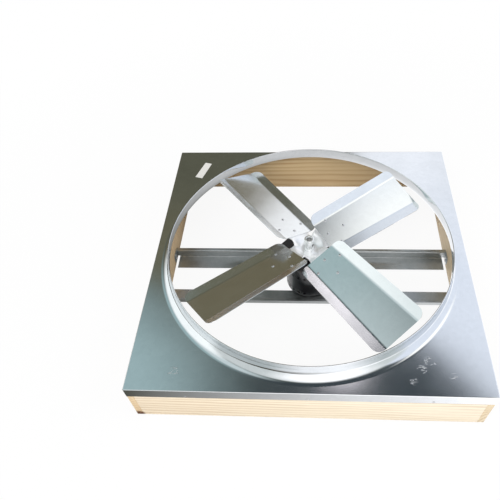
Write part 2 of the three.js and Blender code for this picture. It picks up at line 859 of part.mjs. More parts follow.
// One line across the blade's top face, bent up along both edges.
function bladeRow(out) {
  const share = (out - bladeRoot) / (bladeTip - bladeRoot);
  const { lerp } = THREE.MathUtils;
  const crease = lerp(rootHalfWidth - rootFlange, tipHalfWidth - tipFlange, share);
  const slope = Math.tan(edgeBend * radians);
  const lift = (y) => {
    const past = Math.max(y - crease + creaseHalfWidth, 0);
    const bent = Math.min(past, 2 * creaseHalfWidth);
    return slope * (bent ** 2 / (4 * creaseHalfWidth) + past - bent);
  };
  const half = [crease - creaseHalfWidth, crease, crease + creaseHalfWidth, bladeHalfWidth(out)];
  return [...half.map((y) => -y).reverse(), ...half].map((y) => [out, y, lift(Math.abs(y))]);
}

function addBlades() {
  const fromEnd = [0, 30, 60, 90].map((a) => bladeCorner * (1 - Math.cos(a * radians)));
  const stations = [
    ...fromEnd.map((d) => bladeRoot + d),
    ...fromEnd.map((d) => bladeTip - d).reverse(),
  ];
  const sheet = plate(stations.map(bladeRow), bladeSheet, false);
  const holes = rivetPlaces.map(([x, y]) =>
    bar(rivetShank + holeClearance, -bladeSheet - 1, 1, fastenerSides).translate([x, y, 0]),
  );
  const blade = cut(sheet, ...holes);
  armAngles.forEach((azimuth, i) => {
    place(rotor, `blade_${i + 1}`, blade, bladeSteel, bladeFrame(azimuth));
  });
}

addPanel();
addFrame();
addFasteners(skirtNails, skirtNail);
addFasteners(cornerNails, cornerNail);
addStruts();
addFasteners(strutScrews, strutScrew);
addMotorHousing();
addMotorInside();
addThroughBolts();
addCapacitorBox();
addShaft();
addHub();
addSpider();
addBlades();

export default fan;
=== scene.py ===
"""Whole house fan: a square pine frame under a drawn steel venturi panel, two steel struts across it,
an upright motor on the struts, and a four-blade fan on the motor's shaft."""

import math

import bmesh
import bpy
from mathutils import Euler, Matrix, Vector


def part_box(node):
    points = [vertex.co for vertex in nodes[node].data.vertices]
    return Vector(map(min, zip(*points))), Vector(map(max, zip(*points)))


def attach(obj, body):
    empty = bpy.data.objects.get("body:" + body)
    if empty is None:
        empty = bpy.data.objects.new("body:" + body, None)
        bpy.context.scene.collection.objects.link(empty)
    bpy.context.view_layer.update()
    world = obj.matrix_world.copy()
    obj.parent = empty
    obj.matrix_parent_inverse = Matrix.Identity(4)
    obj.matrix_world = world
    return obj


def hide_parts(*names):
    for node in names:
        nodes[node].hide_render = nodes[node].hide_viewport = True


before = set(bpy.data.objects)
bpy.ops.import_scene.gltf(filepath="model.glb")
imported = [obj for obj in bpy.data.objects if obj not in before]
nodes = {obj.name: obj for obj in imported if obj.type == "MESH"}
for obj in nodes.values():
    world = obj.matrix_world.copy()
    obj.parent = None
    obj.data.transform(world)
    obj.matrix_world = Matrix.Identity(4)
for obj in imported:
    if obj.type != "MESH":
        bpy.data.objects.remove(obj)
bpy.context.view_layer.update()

# ---- Camera -----------------------------------------------------------------------------------------
# The camera stands in front of the fan and looks down on it. Its place, tilt, lens and small shift
# come from the panel's four corners and the round mouth in the photograph.

CAMERA_PLACE = (0.00292, -0.94802, 1.24770)
CAMERA_TURN = (38.8232, 2.1204, 2.3294)
CAMERA_LENS = 37.0665
CAMERA_SHIFT = (-0.064, 0.03302)
CAMERA_SENSOR = 36
CAMERA_SIGHT = 50

camera = bpy.data.objects.new("camera", bpy.data.cameras.new("camera"))
bpy.context.scene.collection.objects.link(camera)
camera.location = CAMERA_PLACE
camera.rotation_euler = [math.radians(angle) for angle in CAMERA_TURN]
camera.data.sensor_width = CAMERA_SENSOR
camera.data.lens = CAMERA_LENS
camera.data.shift_x, camera.data.shift_y = CAMERA_SHIFT
camera.data.clip_end = CAMERA_SIGHT
bpy.context.scene.camera = camera
bpy.context.scene.view_settings.view_transform = "Standard"


# ---- Studio -----------------------------------------------------------------------------------------
# A pale floor that runs into a white surround, two large soft lamps, and the room that the bright
# steel mirrors: a pale window side to the right, a dim side to the left, and soft cards, most of
# them pale, hung in it.

FLOOR_SIZE = 30
FLOOR_COLOUR = (0.88, 0.88, 0.88)
FLOOR_GLOW_NEAR = 0.92
FLOOR_GLOW_FAR = 1.0
FLOOR_NEAR = 0.5
FLOOR_FAR = 1.8
# The floor's glow in bright steel's reflections, a painted reflection:
FLOOR_MIRRORED = ((0.08, 0.08, 0.06), (1.4, 1.4, 1.43))  # at the left and the right of the fan
FLOOR_MIRRORED_REACH = 0.5
SURROUND = (1.0, 1.0, 1.0)
SOFT_FILL = (0.60, 0.60, 0.60)
# The room's tones. A fade is where one gives way to the next, as a sine of the way back or up.
WINDOW_NEAR = (0.94, 1.0, 1.12)
WINDOW_FAR = (1.25, 1.25, 1.28)
WINDOW_FADE = (0.6, 0.9)
DIM_NEAR = (0.11, 0.135, 0.125)
DIM_FAR = (0.12, 0.12, 0.085)
DIM_FADE = (0.45, 0.65)
DIM_LOW = (0.175, 0.155, 0.10)
LOW_FADE = (0.55, 0.4)
LAMPS = (
    ("key_lamp", (-1.3, -2.6, 3.0), 2.4, 80),
    ("fill_lamp", (2.6, -0.6, 2.2), 2.0, 40),
)
# Where the window side begins, to the right, for each way back in the room, and how soft its edge
# is: all are sines of angles.
WINDOW_EDGE = ((-1.0, 0.6), (0.0, 0.48), (0.3, 0.37), (0.41, 0.295), (0.46, 0.25), (0.52, 0.18),
               (0.66, 0.10), (0.76, 0.06), (0.83, 0.09), (0.91, 0.16), (1.0, 0.3))
WINDOW_BLUR = (-0.02, 0.04)
# Soft cards hung in the room: how far right and back each is seen (as parts of 1), its half sizes,
# its turn in degrees, the softness of its edge, and its colour.
DARK_CARD = ((0.18, 0.18), (0.38, 0.46), 0, 0.35, (0.055, 0.07, 0.08))
CARDS = (
    ((-0.50, 0.05), (0.30, 0.34), 8, 0.35, (0.70, 0.80, 0.82)),
    ((-0.40, 0.40), (0.20, 0.16), 0, 0.6, (0.42, 0.57, 0.59)),
    ((-0.95, 0.0), (0.38, 0.60), 0, 0.3, (1.25, 1.3, 1.3)),
    ((0.0, -1.0), (1.3, 0.72), 0, 0.12, (0.75, 0.80, 0.80)),
    ((0.15, -0.80), (0.40, 0.50), 0, 0.5, (1.6, 1.58, 1.6)),
    ((0.52, 0.24), (0.17, 0.17), 0, 0.4, (1.45, 1.45, 1.42)),
    ((-0.20, 0.64), (0.17, 0.05), 12, 0.6, (0.17, 0.16, 0.105)),
    ((0.022, 0.518), (0.100, 0.045), -44, 0.2, (2.0, 1.88, 1.97)),
)


def node(tree, kind, inputs=None, **settings):
    """Adds a node to a tree, with its inputs by name or number: a socket is linked, a value is set."""
    made = tree.nodes.new(kind)
    for name, value in settings.items():
        setattr(made, name, value)
    for key, value in (inputs or {}).items():
        if isinstance(value, bpy.types.NodeSocket):
            tree.links.new(value, made.inputs[key])
        elif isinstance(value, tuple) and len(value) == 3 and made.inputs[key].type == "RGBA":
            made.inputs[key].default_value = (*value, 1)
        else:
            made.inputs[key].default_value = value
    return made


def mixed(tree, factor, a, b):
    """The mix of two colours."""
    return node(tree, "ShaderNodeMix", {0: factor, 6: a, 7: b}, data_type="RGBA").outputs[2]


def ranged(tree, value, low, high, to_low=0.0, to_high=1.0, smooth=False):
    """A value taken from one range to another, and held at its ends."""
    kind = "SMOOTHSTEP" if smooth else "LINEAR"
    inputs = {0: value, 1: low, 2: high, 3: to_low, 4: to_high}
    return node(tree, "ShaderNodeMapRange", inputs, interpolation_type=kind).outputs[0]


def math_node(tree, operation, *values):
    """The result of a sum on values or sockets."""
    return node(tree, "ShaderNodeMath", dict(enumerate(values)), operation=operation).outputs[0]


def new_tree(material):
    """Empties the node tree of a material, or of the world, and gives it back."""
    material.use_nodes = True
    material.node_tree.nodes.clear()
    return material.node_tree


world = bpy.data.worlds.new("studio")
bpy.context.scene.world = world
sky = new_tree(world)
direction = node(sky, "ShaderNodeSeparateXYZ", {0: node(sky, "ShaderNodeTexCoord").outputs["Generated"]})
across, away, up = direction.outputs
edge = node(sky, "ShaderNodeFloatCurve", {1: ranged(sky, away, -1, 1)})
curve = edge.mapping.curves[0]
for place, (back, right) in enumerate(WINDOW_EDGE):
    spot = ((back + 1) / 2, (right + 1) / 2)
    if place in (0, len(WINDOW_EDGE) - 1):
        curve.points[0 if place == 0 else -1].location = spot
    else:
        curve.points.new(*spot)
edge.mapping.update()
edge_right = ranged(sky, edge.outputs[0], 0, 1, -1, 1)
past_edge = math_node(sky, "SUBTRACT", across, edge_right)
in_window = ranged(sky, past_edge, *WINDOW_BLUR, smooth=True)


def hang(room, card):
    """Lays a soft-edged card over what the room shows."""
    (right, back), half, turn, softness, colour = card
    flat_way = node(sky, "ShaderNodeCombineXYZ", {0: across, 1: away}).outputs[0]
    place = node(sky, "ShaderNodeVectorMath", {0: flat_way, 1: (right, back, 0)}, operation="SUBTRACT")
    place = node(sky, "ShaderNodeVectorRotate", {"Vector": place.outputs[0], "Angle": math.radians(-turn)},
                 rotation_type="Z_AXIS")
    place = node(sky, "ShaderNodeVectorMath", {0: place.outputs[0], 1: (*half, 1)}, operation="DIVIDE")
    reach = node(sky, "ShaderNodeVectorMath", {0: place.outputs[0]}, operation="LENGTH").outputs["Value"]
    return mixed(sky, ranged(sky, reach, 1 + softness, 1 - softness, smooth=True), room, colour)


dim = mixed(sky, ranged(sky, away, *DIM_FADE), DIM_NEAR, DIM_FAR)
dim = mixed(sky, ranged(sky, up, *LOW_FADE), dim, DIM_LOW)
window = mixed(sky, ranged(sky, away, *WINDOW_FADE), WINDOW_NEAR, WINDOW_FAR)
room = mixed(sky, in_window, hang(dim, DARK_CARD), window)
for card in CARDS:
    room = hang(room, card)
path = node(sky, "ShaderNodeLightPath")
mirrored = math_node(sky, "MAXIMUM", path.outputs["Is Glossy Ray"], path.outputs["Is Transmission Ray"])
seen = mixed(sky, mirrored, SOFT_FILL, room)
seen = mixed(sky, path.outputs["Is Camera Ray"], seen, SURROUND)
background = node(sky, "ShaderNodeBackground", {0: seen, 1: 1.0})
node(sky, "ShaderNodeOutputWorld", {0: background.outputs[0]})

bpy.ops.mesh.primitive_plane_add(size=FLOOR_SIZE)
floor = bpy.context.object
floor.name = "floor"
floor_paint = bpy.data.materials.new("floor paint")
tree = new_tree(floor_paint)
path = node(tree, "ShaderNodeLightPath")
place = node(tree, "ShaderNodeTexCoord").outputs["Object"]
distance = node(tree, "ShaderNodeVectorMath", {0: place}, operation="LENGTH").outputs["Value"]
glow = ranged(tree, distance, FLOOR_NEAR, FLOOR_FAR, FLOOR_GLOW_NEAR, FLOOR_GLOW_FAR, smooth=True)
glow = math_node(tree, "MULTIPLY", path.outputs["Is Camera Ray"], glow)
paint = node(tree, "ShaderNodeBsdfDiffuse", {0: FLOOR_COLOUR})
white = node(tree, "ShaderNodeEmission", {0: SURROUND, 1: 1.0})
blend = node(tree, "ShaderNodeMixShader", {0: glow, 1: paint.outputs[0], 2: white.outputs[0]})
# Bright steel mirrors a floor that glows, in reflections only, dim to the left of the fan and pale to its
# right: a painted reflection, not the floor's lit colour.
side = node(tree, "ShaderNodeSeparateXYZ", {0: place}).outputs[0]
side = ranged(tree, side, -FLOOR_MIRRORED_REACH, FLOOR_MIRRORED_REACH)
mirrored = node(tree, "ShaderNodeEmission", {0: mixed(tree, side, *FLOOR_MIRRORED), 1: 1.0})
blend = node(tree, "ShaderNodeMixShader",
             {0: path.outputs["Is Glossy Ray"], 1: blend.outputs[0], 2: mirrored.outputs[0]})
node(tree, "ShaderNodeOutputMaterial", {0: blend.outputs[0]})
floor.data.materials.append(floor_paint)

for name, place, size, power in LAMPS:
    lamp = bpy.data.objects.new(name, bpy.data.lights.new(name, "AREA"))
    lamp.data.shape = "SQUARE"
    lamp.data.size = size
    lamp.data.energy = power
    lamp.location = place
    lamp.rotation_euler = (-Vector(place)).to_track_quat("-Z", "Y").to_euler()
    lamp.visible_glossy = False
    lamp.visible_camera = False
    bpy.context.scene.collection.objects.link(lamp)


# ---- Venturi panel ----------------------------------------------------------------------------------
# One sheet of galvanised steel. A press draws the round mouth up out of the flat and hems its lip,
# and a folder turns the four edges down into a skirt that slips over the pine frame.

PANEL_LOW, PANEL_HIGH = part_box("venturi_panel")
PANEL_SHEET = 0.0012
PANEL_FACE = 0.1409
MOUTH_RADIUS = 0.3874
MOUTH_FILLET = 0.029
LIP_HEM = 0.001
FOLD_RADIUS = 0.0016
HEM_END = -20  # degrees from level, where the curled lip stops
MOUTH_STEPS = 256
HEM_STEPS, WALL_STEPS, FILLET_STEPS, FOLD_STEPS = 12, 3, 14, 5
WELD = 1e-6
SHARP_FROM = 35
# Where the rings of points lie on the flat, from the mouth's bend to the fold, and on the skirt, as
# shares of its height. The close ones beside the bends keep a flat's mirror image flat.
FLAT_SHARES = (0.008, 0.2, 0.45, 0.7, 0.92, 0.994, 1)
SKIRT_SHARES = (0.97, 0.6, 0.3, 0)
ZINC_LIGHT = (0.78, 0.80, 0.815)
ZINC_DARK = (0.68, 0.70, 0.715)
CRYSTAL_SHARE = 0.25
CLOUD_SPREAD = (0.32, 0.68)
WAVES_TO_CLOUDS = 2.2
# Scuffed patches on the flat, each with its place and reach, and the scratches in them.
SCUFFS = ((0.290, -0.345, 0.018), (0.268, -0.366, 0.015), (0.339, -0.384, 0.012), (0.246, -0.397, 0.012),
          (-0.322, -0.385, 0.018))
SCUFF_CORE = 0.4
SCRATCH_TURN, SCRATCH_STRETCH, SCRATCH_SCALE = -50, (0.3, 1.3, 1), 110.0
SCRATCH_EDGE = (0.024, 0.008)
SCRATCH_TONE, SCRATCH_ROUGH = (0.9, 0.9, 0.9), 0.5


def even(start, end, steps):
    """Values from start to end in equal steps."""
    return [start + (end - start) * k / steps for k in range(steps + 1)]


def mesh_piece(name, vertices, faces):
    """A new object from points and faces, with its doubles merged and its faces outward."""
    mesh = bpy.data.meshes.new(name)
    mesh.from_pydata([tuple(v) for v in vertices], [], faces)
    work = bmesh.new()
    work.from_mesh(mesh)
    bmesh.ops.remove_doubles(work, verts=work.verts, dist=WELD)
    bmesh.ops.recalc_face_normals(work, faces=work.faces)
    work.to_mesh(mesh)
    work.free()
    piece = bpy.data.objects.new(name, mesh)
    bpy.context.scene.collection.objects.link(piece)
    return piece


def grid_faces(rows, across, wrapped=False):
    """Faces of a grid of points given row by row. A wrapped grid joins its last row to its first."""
    spans = rows if wrapped else rows - 1
    faces = []
    for i in range(spans):
        a, b = i * across, (i + 1) % rows * across
        faces += [(a + j, a + j + 1, b + j + 1, b + j) for j in range(across - 1)]
    return faces


def thicken(piece, thickness, offset=0.0):
    """Gives an open sheet its thickness, half to each side unless offset says otherwise."""
    solid = piece.modifiers.new("thickness", "SOLIDIFY")
    solid.thickness = thickness
    solid.offset = offset
    solid.use_even_offset = True


def settle(piece):
    """Turns a piece and its modifiers into a plain mesh, smooth but for its sharp edges."""
    bpy.context.view_layer.update()
    graph = bpy.context.evaluated_depsgraph_get()
    mesh = bpy.data.meshes.new_from_object(piece.evaluated_get(graph))
    piece.modifiers.clear()
    piece.data = mesh
    mesh.shade_smooth()
    mesh.set_sharp_from_angle(angle=math.radians(SHARP_FROM))
    return piece


def dress(piece, material, slot, body, *replaced):
    """Gives a piece its material, its body and the solids it stands for, which it hides. The slot is not
    used.
    """
    piece.data.materials.clear()
    piece.data.materials.append(material)
    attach(piece, body)
    if replaced:
        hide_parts(*replaced)


def arc_points(centre, radius, start, end, steps):
    """Points on an arc, with angles in degrees."""
    angles = [math.radians(angle) for angle in even(start, end, steps)]
    return [(centre[0] + radius * math.cos(a), centre[1] + radius * math.sin(a)) for a in angles]


def group_tree(name, inputs, outputs):
    """An empty shader node group with named sockets, and the sockets at its two ends."""
    tree = bpy.data.node_groups.new(name, "ShaderNodeTree")
    for label, kind, value in inputs:
        socket = tree.interface.new_socket(label, in_out="INPUT", socket_type=kind)
        if value is not None:
            socket.default_value = value
    for label, kind in outputs:
        tree.interface.new_socket(label, in_out="OUTPUT", socket_type=kind)
    return tree, tree.nodes.new("NodeGroupInput").outputs, tree.nodes.new("NodeGroupOutput").inputs


def use_group(tree, group, **inputs):
    """Places a node group in a material, with its inputs by name."""
    made = tree.nodes.new("ShaderNodeGroup")
    made.node_tree = group
    for key, value in inputs.items():
        socket = made.inputs[key.replace("_", " ")]
        if isinstance(value, bpy.types.NodeSocket):
            tree.links.new(value, socket)
        else:
            socket.default_value = value
    return made.outputs


FLOAT, VECTOR = "NodeSocketFloat", "NodeSocketVector"

# Zinc on steel: faint crystals, cloudy handling marks and a slight waviness.
zinc_skin, got, put = group_tree(
    "zinc skin",
    [("Vector", VECTOR, None), ("Crystal Size", FLOAT, 0.012), ("Cloud Size", FLOAT, 0.25)],
    [("Tone", FLOAT), ("Cloud", FLOAT), ("Height", FLOAT)],
)
crystal_scale = math_node(zinc_skin, "DIVIDE", 1.0, got["Crystal Size"])
cloud_scale = math_node(zinc_skin, "DIVIDE", 1.0, got["Cloud Size"])
crystals = node(zinc_skin, "ShaderNodeTexVoronoi", {"Vector": got["Vector"], "Scale": crystal_scale})
crystal_tone = node(zinc_skin, "ShaderNodeSeparateColor", {0: crystals.outputs["Color"]}).outputs[0]
clouds = node(zinc_skin, "ShaderNodeTexNoise",
              {"Vector": got["Vector"], "Scale": cloud_scale, "Detail": 5.0, "Roughness": 0.6})
wave_scale = math_node(zinc_skin, "MULTIPLY", cloud_scale, WAVES_TO_CLOUDS)
waves = node(zinc_skin, "ShaderNodeTexNoise", {"Vector": got["Vector"], "Scale": wave_scale, "Detail": 1.0})
cloud = ranged(zinc_skin, clouds.outputs[0], *CLOUD_SPREAD, smooth=True)
tone = math_node(zinc_skin, "ADD", math_node(zinc_skin, "MULTIPLY", crystal_tone, CRYSTAL_SHARE),
                 math_node(zinc_skin, "MULTIPLY", cloud, 1 - CRYSTAL_SHARE))
zinc_skin.links.new(tone, put["Tone"])
zinc_skin.links.new(cloud, put["Cloud"])
zinc_skin.links.new(waves.outputs[0], put["Height"])


def scratches(tree, place, scuffs):
    """How scratched a sheet is: fine crossing scratches inside each soft round patch."""
    drawn_out = node(tree, "ShaderNodeMapping", {
        "Vector": place, "Rotation": Euler((0, 0, math.radians(SCRATCH_TURN))),
        "Scale": Vector(SCRATCH_STRETCH)})
    lines = node(tree, "ShaderNodeTexNoise",
                 {"Vector": drawn_out.outputs[0], "Scale": SCRATCH_SCALE, "Detail": 3.0, "Distortion": 0.6})
    thin = math_node(tree, "ABSOLUTE", math_node(tree, "SUBTRACT", lines.outputs[0], 0.5))
    thin = ranged(tree, thin, *SCRATCH_EDGE)
    marked = 0.0
    for x, y, reach in scuffs:
        gap = node(tree, "ShaderNodeVectorMath", {0: place, 1: (x, y, PANEL_FACE)}, operation="DISTANCE")
        patch = ranged(tree, gap.outputs["Value"], reach, reach * SCUFF_CORE, smooth=True)
        marked = math_node(tree, "MAXIMUM", marked, patch)
    return math_node(tree, "MULTIPLY", marked, thin)


def steel(name, light, dark, rough=(0.2, 0.32), wave=0.3, crystal=0.012, cloud_size=0.25, metal=1.0,
          scuffs=()):
    """Zinc-coated or plain bright steel, with cloudy roughness and a slight waviness."""
    material = bpy.data.materials.new(name)
    tree = new_tree(material)
    place = node(tree, "ShaderNodeTexCoord").outputs["Object"]
    skin = use_group(tree, zinc_skin, Vector=place, Crystal_Size=crystal, Cloud_Size=cloud_size)
    bump = node(tree, "ShaderNodeBump", {"Strength": wave, "Distance": 0.002, "Height": skin["Height"]})
    colour = mixed(tree, skin["Tone"], dark, light)
    roughness = ranged(tree, skin["Cloud"], 0, 1, *rough)
    if scuffs:
        scratched = scratches(tree, place, scuffs)
        colour = mixed(tree, scratched, colour, SCRATCH_TONE)
        rougher = math_node(tree, "MULTIPLY", scratched, SCRATCH_ROUGH)
        roughness = math_node(tree, "ADD", roughness, rougher)
    shader = node(tree, "ShaderNodeBsdfPrincipled", {
        "Base Color": colour,
        "Roughness": roughness,
        "Metallic": metal,
        "Normal": bump.outputs[0],
    })
    node(tree, "ShaderNodeOutputMaterial", {0: shader.outputs[0]})
    return material


panel_half = PANEL_HIGH.x - PANEL_SHEET / 2
face_middle = PANEL_FACE - PANEL_SHEET / 2
wall = MOUTH_RADIUS + PANEL_SHEET / 2
fillet_centre = (wall + MOUTH_FILLET, face_middle + MOUTH_FILLET)
hem_centre = (wall + LIP_HEM, PANEL_HIGH.z - LIP_HEM - PANEL_SHEET / 2)
mouth_line = arc_points(hem_centre, LIP_HEM, HEM_END, 180, HEM_STEPS)
mouth_line += [(wall, z) for z in even(hem_centre[1], fillet_centre[1], WALL_STEPS)[1:-1]]
mouth_line += arc_points(fillet_centre, MOUTH_FILLET, 180, 270, FILLET_STEPS)
flat_start = mouth_line[-1][0]
fold_start = panel_half - FOLD_RADIUS
vertices = []
for i in range(MOUTH_STEPS):
    angle = 2 * math.pi * i / MOUTH_STEPS
    c, s = math.cos(angle), math.sin(angle)
    vertices += [(r * c, r * s, z) for r, z in mouth_line]
    span = fold_start / max(abs(c), abs(s)) - flat_start
    rings = [flat_start + span * share for share in FLAT_SHARES]
    vertices += [(r * c, r * s, face_middle) for r in rings]
faces = grid_faces(MOUTH_STEPS, len(mouth_line) + len(FLAT_SHARES), wrapped=True)
skirt_line = arc_points((fold_start, face_middle - FOLD_RADIUS), FOLD_RADIUS, 90, 0, FOLD_STEPS)
skirt_height = face_middle - FOLD_RADIUS - PANEL_LOW.z
skirt_line += [(panel_half, PANEL_LOW.z + skirt_height * share) for share in SKIRT_SHARES]
# Along a side, the skirt's points stand where those of the flat's rim are, so the sheet stays whole.
stations = [fold_start * math.tan(math.radians(angle)) for angle in even(-45, 45, MOUTH_STEPS // 4)]
for side in range(4):
    turn = Matrix.Rotation(math.radians(90 * side), 3, "Z")
    first = len(vertices)
    for along in stations:
        vertices += [turn @ Vector((out, along, z)) for out, z in skirt_line]
    faces += [tuple(first + k for k in face) for face in grid_faces(len(stations), len(skirt_line))]
panel = mesh_piece("panel_sheet", vertices, faces)
thicken(panel, PANEL_SHEET)
settle(panel)

panel_zinc = steel("panel zinc", ZINC_LIGHT, ZINC_DARK, rough=(0.08, 0.13), wave=0.1, cloud_size=0.3,
                   scuffs=SCUFFS)
dress(panel, panel_zinc, "galvanised_sheet", "frame", "venturi_panel")


# ---- Label ------------------------------------------------------------------------------------------
# A small blank sticker of thin paper with a gummed back. It is put by hand on the panel's flat at the
# back left, a little out of square.

LABEL_CORNERS = ((-0.3461, 0.3801), (-0.3246, 0.3743), (-0.3471, 0.3037), (-0.3702, 0.3102))
LABEL_THICK = 0.0002
PAPER_DARK = (0.74, 0.72, 0.68)
PAPER_LIGHT = (0.84, 0.83, 0.80)
PAPER_ROUGH = (0.4, 0.55)

corners = [(x, y, PANEL_FACE + LABEL_THICK) for x, y in LABEL_CORNERS]
label = mesh_piece("blank_label", corners, [(0, 1, 2, 3)])
thicken(label, LABEL_THICK)
settle(label)
label_paper = bpy.data.materials.new("label paper")
tree = new_tree(label_paper)
place = node(tree, "ShaderNodeTexCoord").outputs["Object"]
fleck = node(tree, "ShaderNodeTexNoise", {"Vector": place, "Scale": 300.0, "Detail": 3.0}).outputs[0]
shader = node(tree, "ShaderNodeBsdfPrincipled", {
    "Base Color": mixed(tree, fleck, PAPER_DARK, PAPER_LIGHT),
    "Roughness": ranged(tree, fleck, 0, 1, *PAPER_ROUGH),
})
node(tree, "ShaderNodeOutputMaterial", {0: shader.outputs[0]})
label.data.materials.append(label_paper)
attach(label, "frame")


# ---- Pine frame -------------------------------------------------------------------------------------
# Four planed one-by-six pine boards, butted and nailed. The side boards run the full depth, and the
# front and back boards stand between them. The edges are just broken by the planer.

BOARD_EASE = 0.0009
PINE_DARK = (0.42, 0.25, 0.11)
PINE_STAIN = (0.74, 0.50, 0.27)
PINE_KNOT = (0.16, 0.07, 0.03)
KNOT_PLACE, KNOT_REACH = (-0.426, -0.4318, 0.006), 0.021
KNOT_CORE, KNOT_RAGGED = 0.5, 0.006
# How far the grain is drawn out, and where late wood, stain and fibres begin to show.
GRAIN_STRETCH = (0.16, 1.0, 1.0)
FIBRE_STRETCH = (6.0, 240.0, 240.0)
LATE_WOOD, RING_EDGE = (0.35, 0.86), (1.0, 0.9)
RING_FADE = (0.36, 0.62, 0.15, 1.0)
STAIN_SPREAD, STAIN_SHARE = (0.35, 0.7), 0.3
FIBRE_LINES = (0.45, 0.75, 0, 0.22)
PINE_ROUGH = (0.2, 0.8, 0.55, 0.72)
# For each board: the turn of its grain about Z, its middle from the log's heart, the strength of
# its rings and its colour. Beside the boards' own tones, the colours hold painted light: the front
# board is paler as painted light, and the back board darker as painted shade.
BOARDS = {
    "frame_board_front": (0, (0.3, 0.035, -0.085), 0.45, (1.0, 0.92, 0.75)),
    "frame_board_back": (0, (0.9, -0.03, 0.075), 0.9, (0.64, 0.49, 0.28)),
    "frame_board_left": (90, (1.7, 0.03, -0.085), 0.6, (0.80, 0.64, 0.42)),
    "frame_board_right": (90, (2.6, -0.04, 0.08), 0.5, (0.82, 0.70, 0.50)),
}

# Growth rings round a heart line along X, drawn out into grain on the board's faces, with fibres.
pine_grain, got, put = group_tree(
    "pine grain",
    [("Vector", VECTOR, None), ("Ring Width", FLOAT, 0.013), ("Waver", FLOAT, 0.05)],
    [("Ring", FLOAT), ("Fibre", FLOAT), ("Stain", FLOAT)],
)


def pine_noise(vector, scale, detail):
    """Noise at the place that a vector node gives."""
    return node(pine_grain, "ShaderNodeTexNoise",
                {"Vector": vector.outputs[0], "Scale": scale, "Detail": detail}).outputs[0]


stretched = node(pine_grain, "ShaderNodeVectorMath", {0: got["Vector"], 1: GRAIN_STRETCH},
                 operation="MULTIPLY")
slow = pine_noise(stretched, 9.0, 2.0)
parts = node(pine_grain, "ShaderNodeSeparateXYZ", {0: got["Vector"]}).outputs
radius = math_node(pine_grain, "SQRT", math_node(
    pine_grain, "ADD",
    math_node(pine_grain, "MULTIPLY", parts[1], parts[1]),
    math_node(pine_grain, "MULTIPLY", parts[2], parts[2])))
wavered = math_node(pine_grain, "ADD", radius, math_node(
    pine_grain, "MULTIPLY", math_node(pine_grain, "SUBTRACT", slow, 0.5), got["Waver"]))
rings = math_node(pine_grain, "FRACT", math_node(pine_grain, "DIVIDE", wavered, got["Ring Width"]))
late = math_node(pine_grain, "MULTIPLY", ranged(pine_grain, rings, *LATE_WOOD, smooth=True),
                 ranged(pine_grain, rings, *RING_EDGE, smooth=True))
fine = node(pine_grain, "ShaderNodeVectorMath", {0: got["Vector"], 1: FIBRE_STRETCH}, operation="MULTIPLY")
patches = pine_noise(stretched, 14.0, 2.0)
late = math_node(pine_grain, "MULTIPLY", late, ranged(pine_grain, patches, *RING_FADE))
stain = ranged(pine_grain, pine_noise(stretched, 5.0, 3.0), *STAIN_SPREAD, smooth=True)
pine_grain.links.new(late, put["Ring"])
pine_grain.links.new(pine_noise(fine, 3.0, 3.0), put["Fibre"])
pine_grain.links.new(stain, put["Stain"])


def pine(name, turn, middle, heart, ringed, pale):
    """Planed pine, with its own turn of the grain, place in the log, strength of rings and colour; the colour
    holds painted light on the front board and painted shade on the back one.
    """
    turned = Matrix.Rotation(math.radians(turn), 3, "Z") @ middle
    material = bpy.data.materials.new(name)
    tree = new_tree(material)
    place = node(tree, "ShaderNodeTexCoord").outputs["Object"]
    mapping = node(tree, "ShaderNodeMapping", {
        "Vector": place, "Location": Vector(heart) - turned, "Rotation": Euler((0, 0, math.radians(turn)))})
    grain = use_group(tree, pine_grain, Vector=mapping.outputs[0])
    # The board's colour holds painted light: paler on the front board, darker as painted shade on the back
    # one.
    wood = mixed(tree, math_node(tree, "MULTIPLY", grain["Ring"], ringed), pale, PINE_DARK)
    warm = mixed(tree, math_node(tree, "MULTIPLY", grain["Stain"], STAIN_SHARE), wood, PINE_STAIN)
    lines = mixed(tree, ranged(tree, grain["Fibre"], *FIBRE_LINES), warm, PINE_DARK)
    off_knot = node(tree, "ShaderNodeVectorMath", {0: place, 1: KNOT_PLACE}, operation="DISTANCE")
    ragged = math_node(tree, "ADD", off_knot.outputs["Value"],
                       math_node(tree, "MULTIPLY", grain["Fibre"], KNOT_RAGGED))
    in_knot = ranged(tree, ragged, KNOT_REACH, KNOT_REACH * KNOT_CORE, smooth=True)
    lines = mixed(tree, in_knot, lines, PINE_KNOT)
    bump = node(tree, "ShaderNodeBump", {"Strength": 0.25, "Distance": 0.0006, "Height": grain["Fibre"]})
    shader = node(tree, "ShaderNodeBsdfPrincipled", {
        "Base Color": lines,
        "Roughness": ranged(tree, grain["Fibre"], *PINE_ROUGH),
        "Normal": bump.outputs[0],
    })
    node(tree, "ShaderNodeOutputMaterial", {0: shader.outputs[0]})
    return material


for board, (turn, heart, ringed, pale) in BOARDS.items():
    low_corner, high_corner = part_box(board)
    corners = [(x, y, z) for x in (low_corner.x, high_corner.x) for y in (low_corner.y, high_corner.y)
               for z in (low_corner.z, high_corner.z)]
    sides = [(0, 1, 3, 2), (4, 6, 7, 5), (0, 4, 5, 1), (2, 3, 7, 6), (0, 2, 6, 4), (1, 5, 7, 3)]
    piece = mesh_piece(board.replace("frame_", "pine_"), corners, sides)
    ease = piece.modifiers.new("eased edges", "BEVEL")
    ease.width = BOARD_EASE
    ease.segments = 2
    settle(piece)
    middle = (low_corner + high_corner) / 2
    dress(piece, pine(board.replace("_", " "), turn, middle, heart, ringed, pale), "pine", "frame", board)


# ---- Nails and strut screws -------------------------------------------------------------------------
# Bright wire nails through the skirt and at the corners, and round-headed screws in the strut tabs.
# Each is set on a point under its head, and its head faces away from the wood.

NAIL_STEEL = ((0.80, 0.80, 0.80), (0.62, 0.62, 0.63))
OUTWARD = {"front": (0, -1, 0), "right": (1, 0, 0), "back": (0, 1, 0), "left": (-1, 0, 0)}
INWARD = {"left": (1, 0, 0), "right": (-1, 0, 0)}
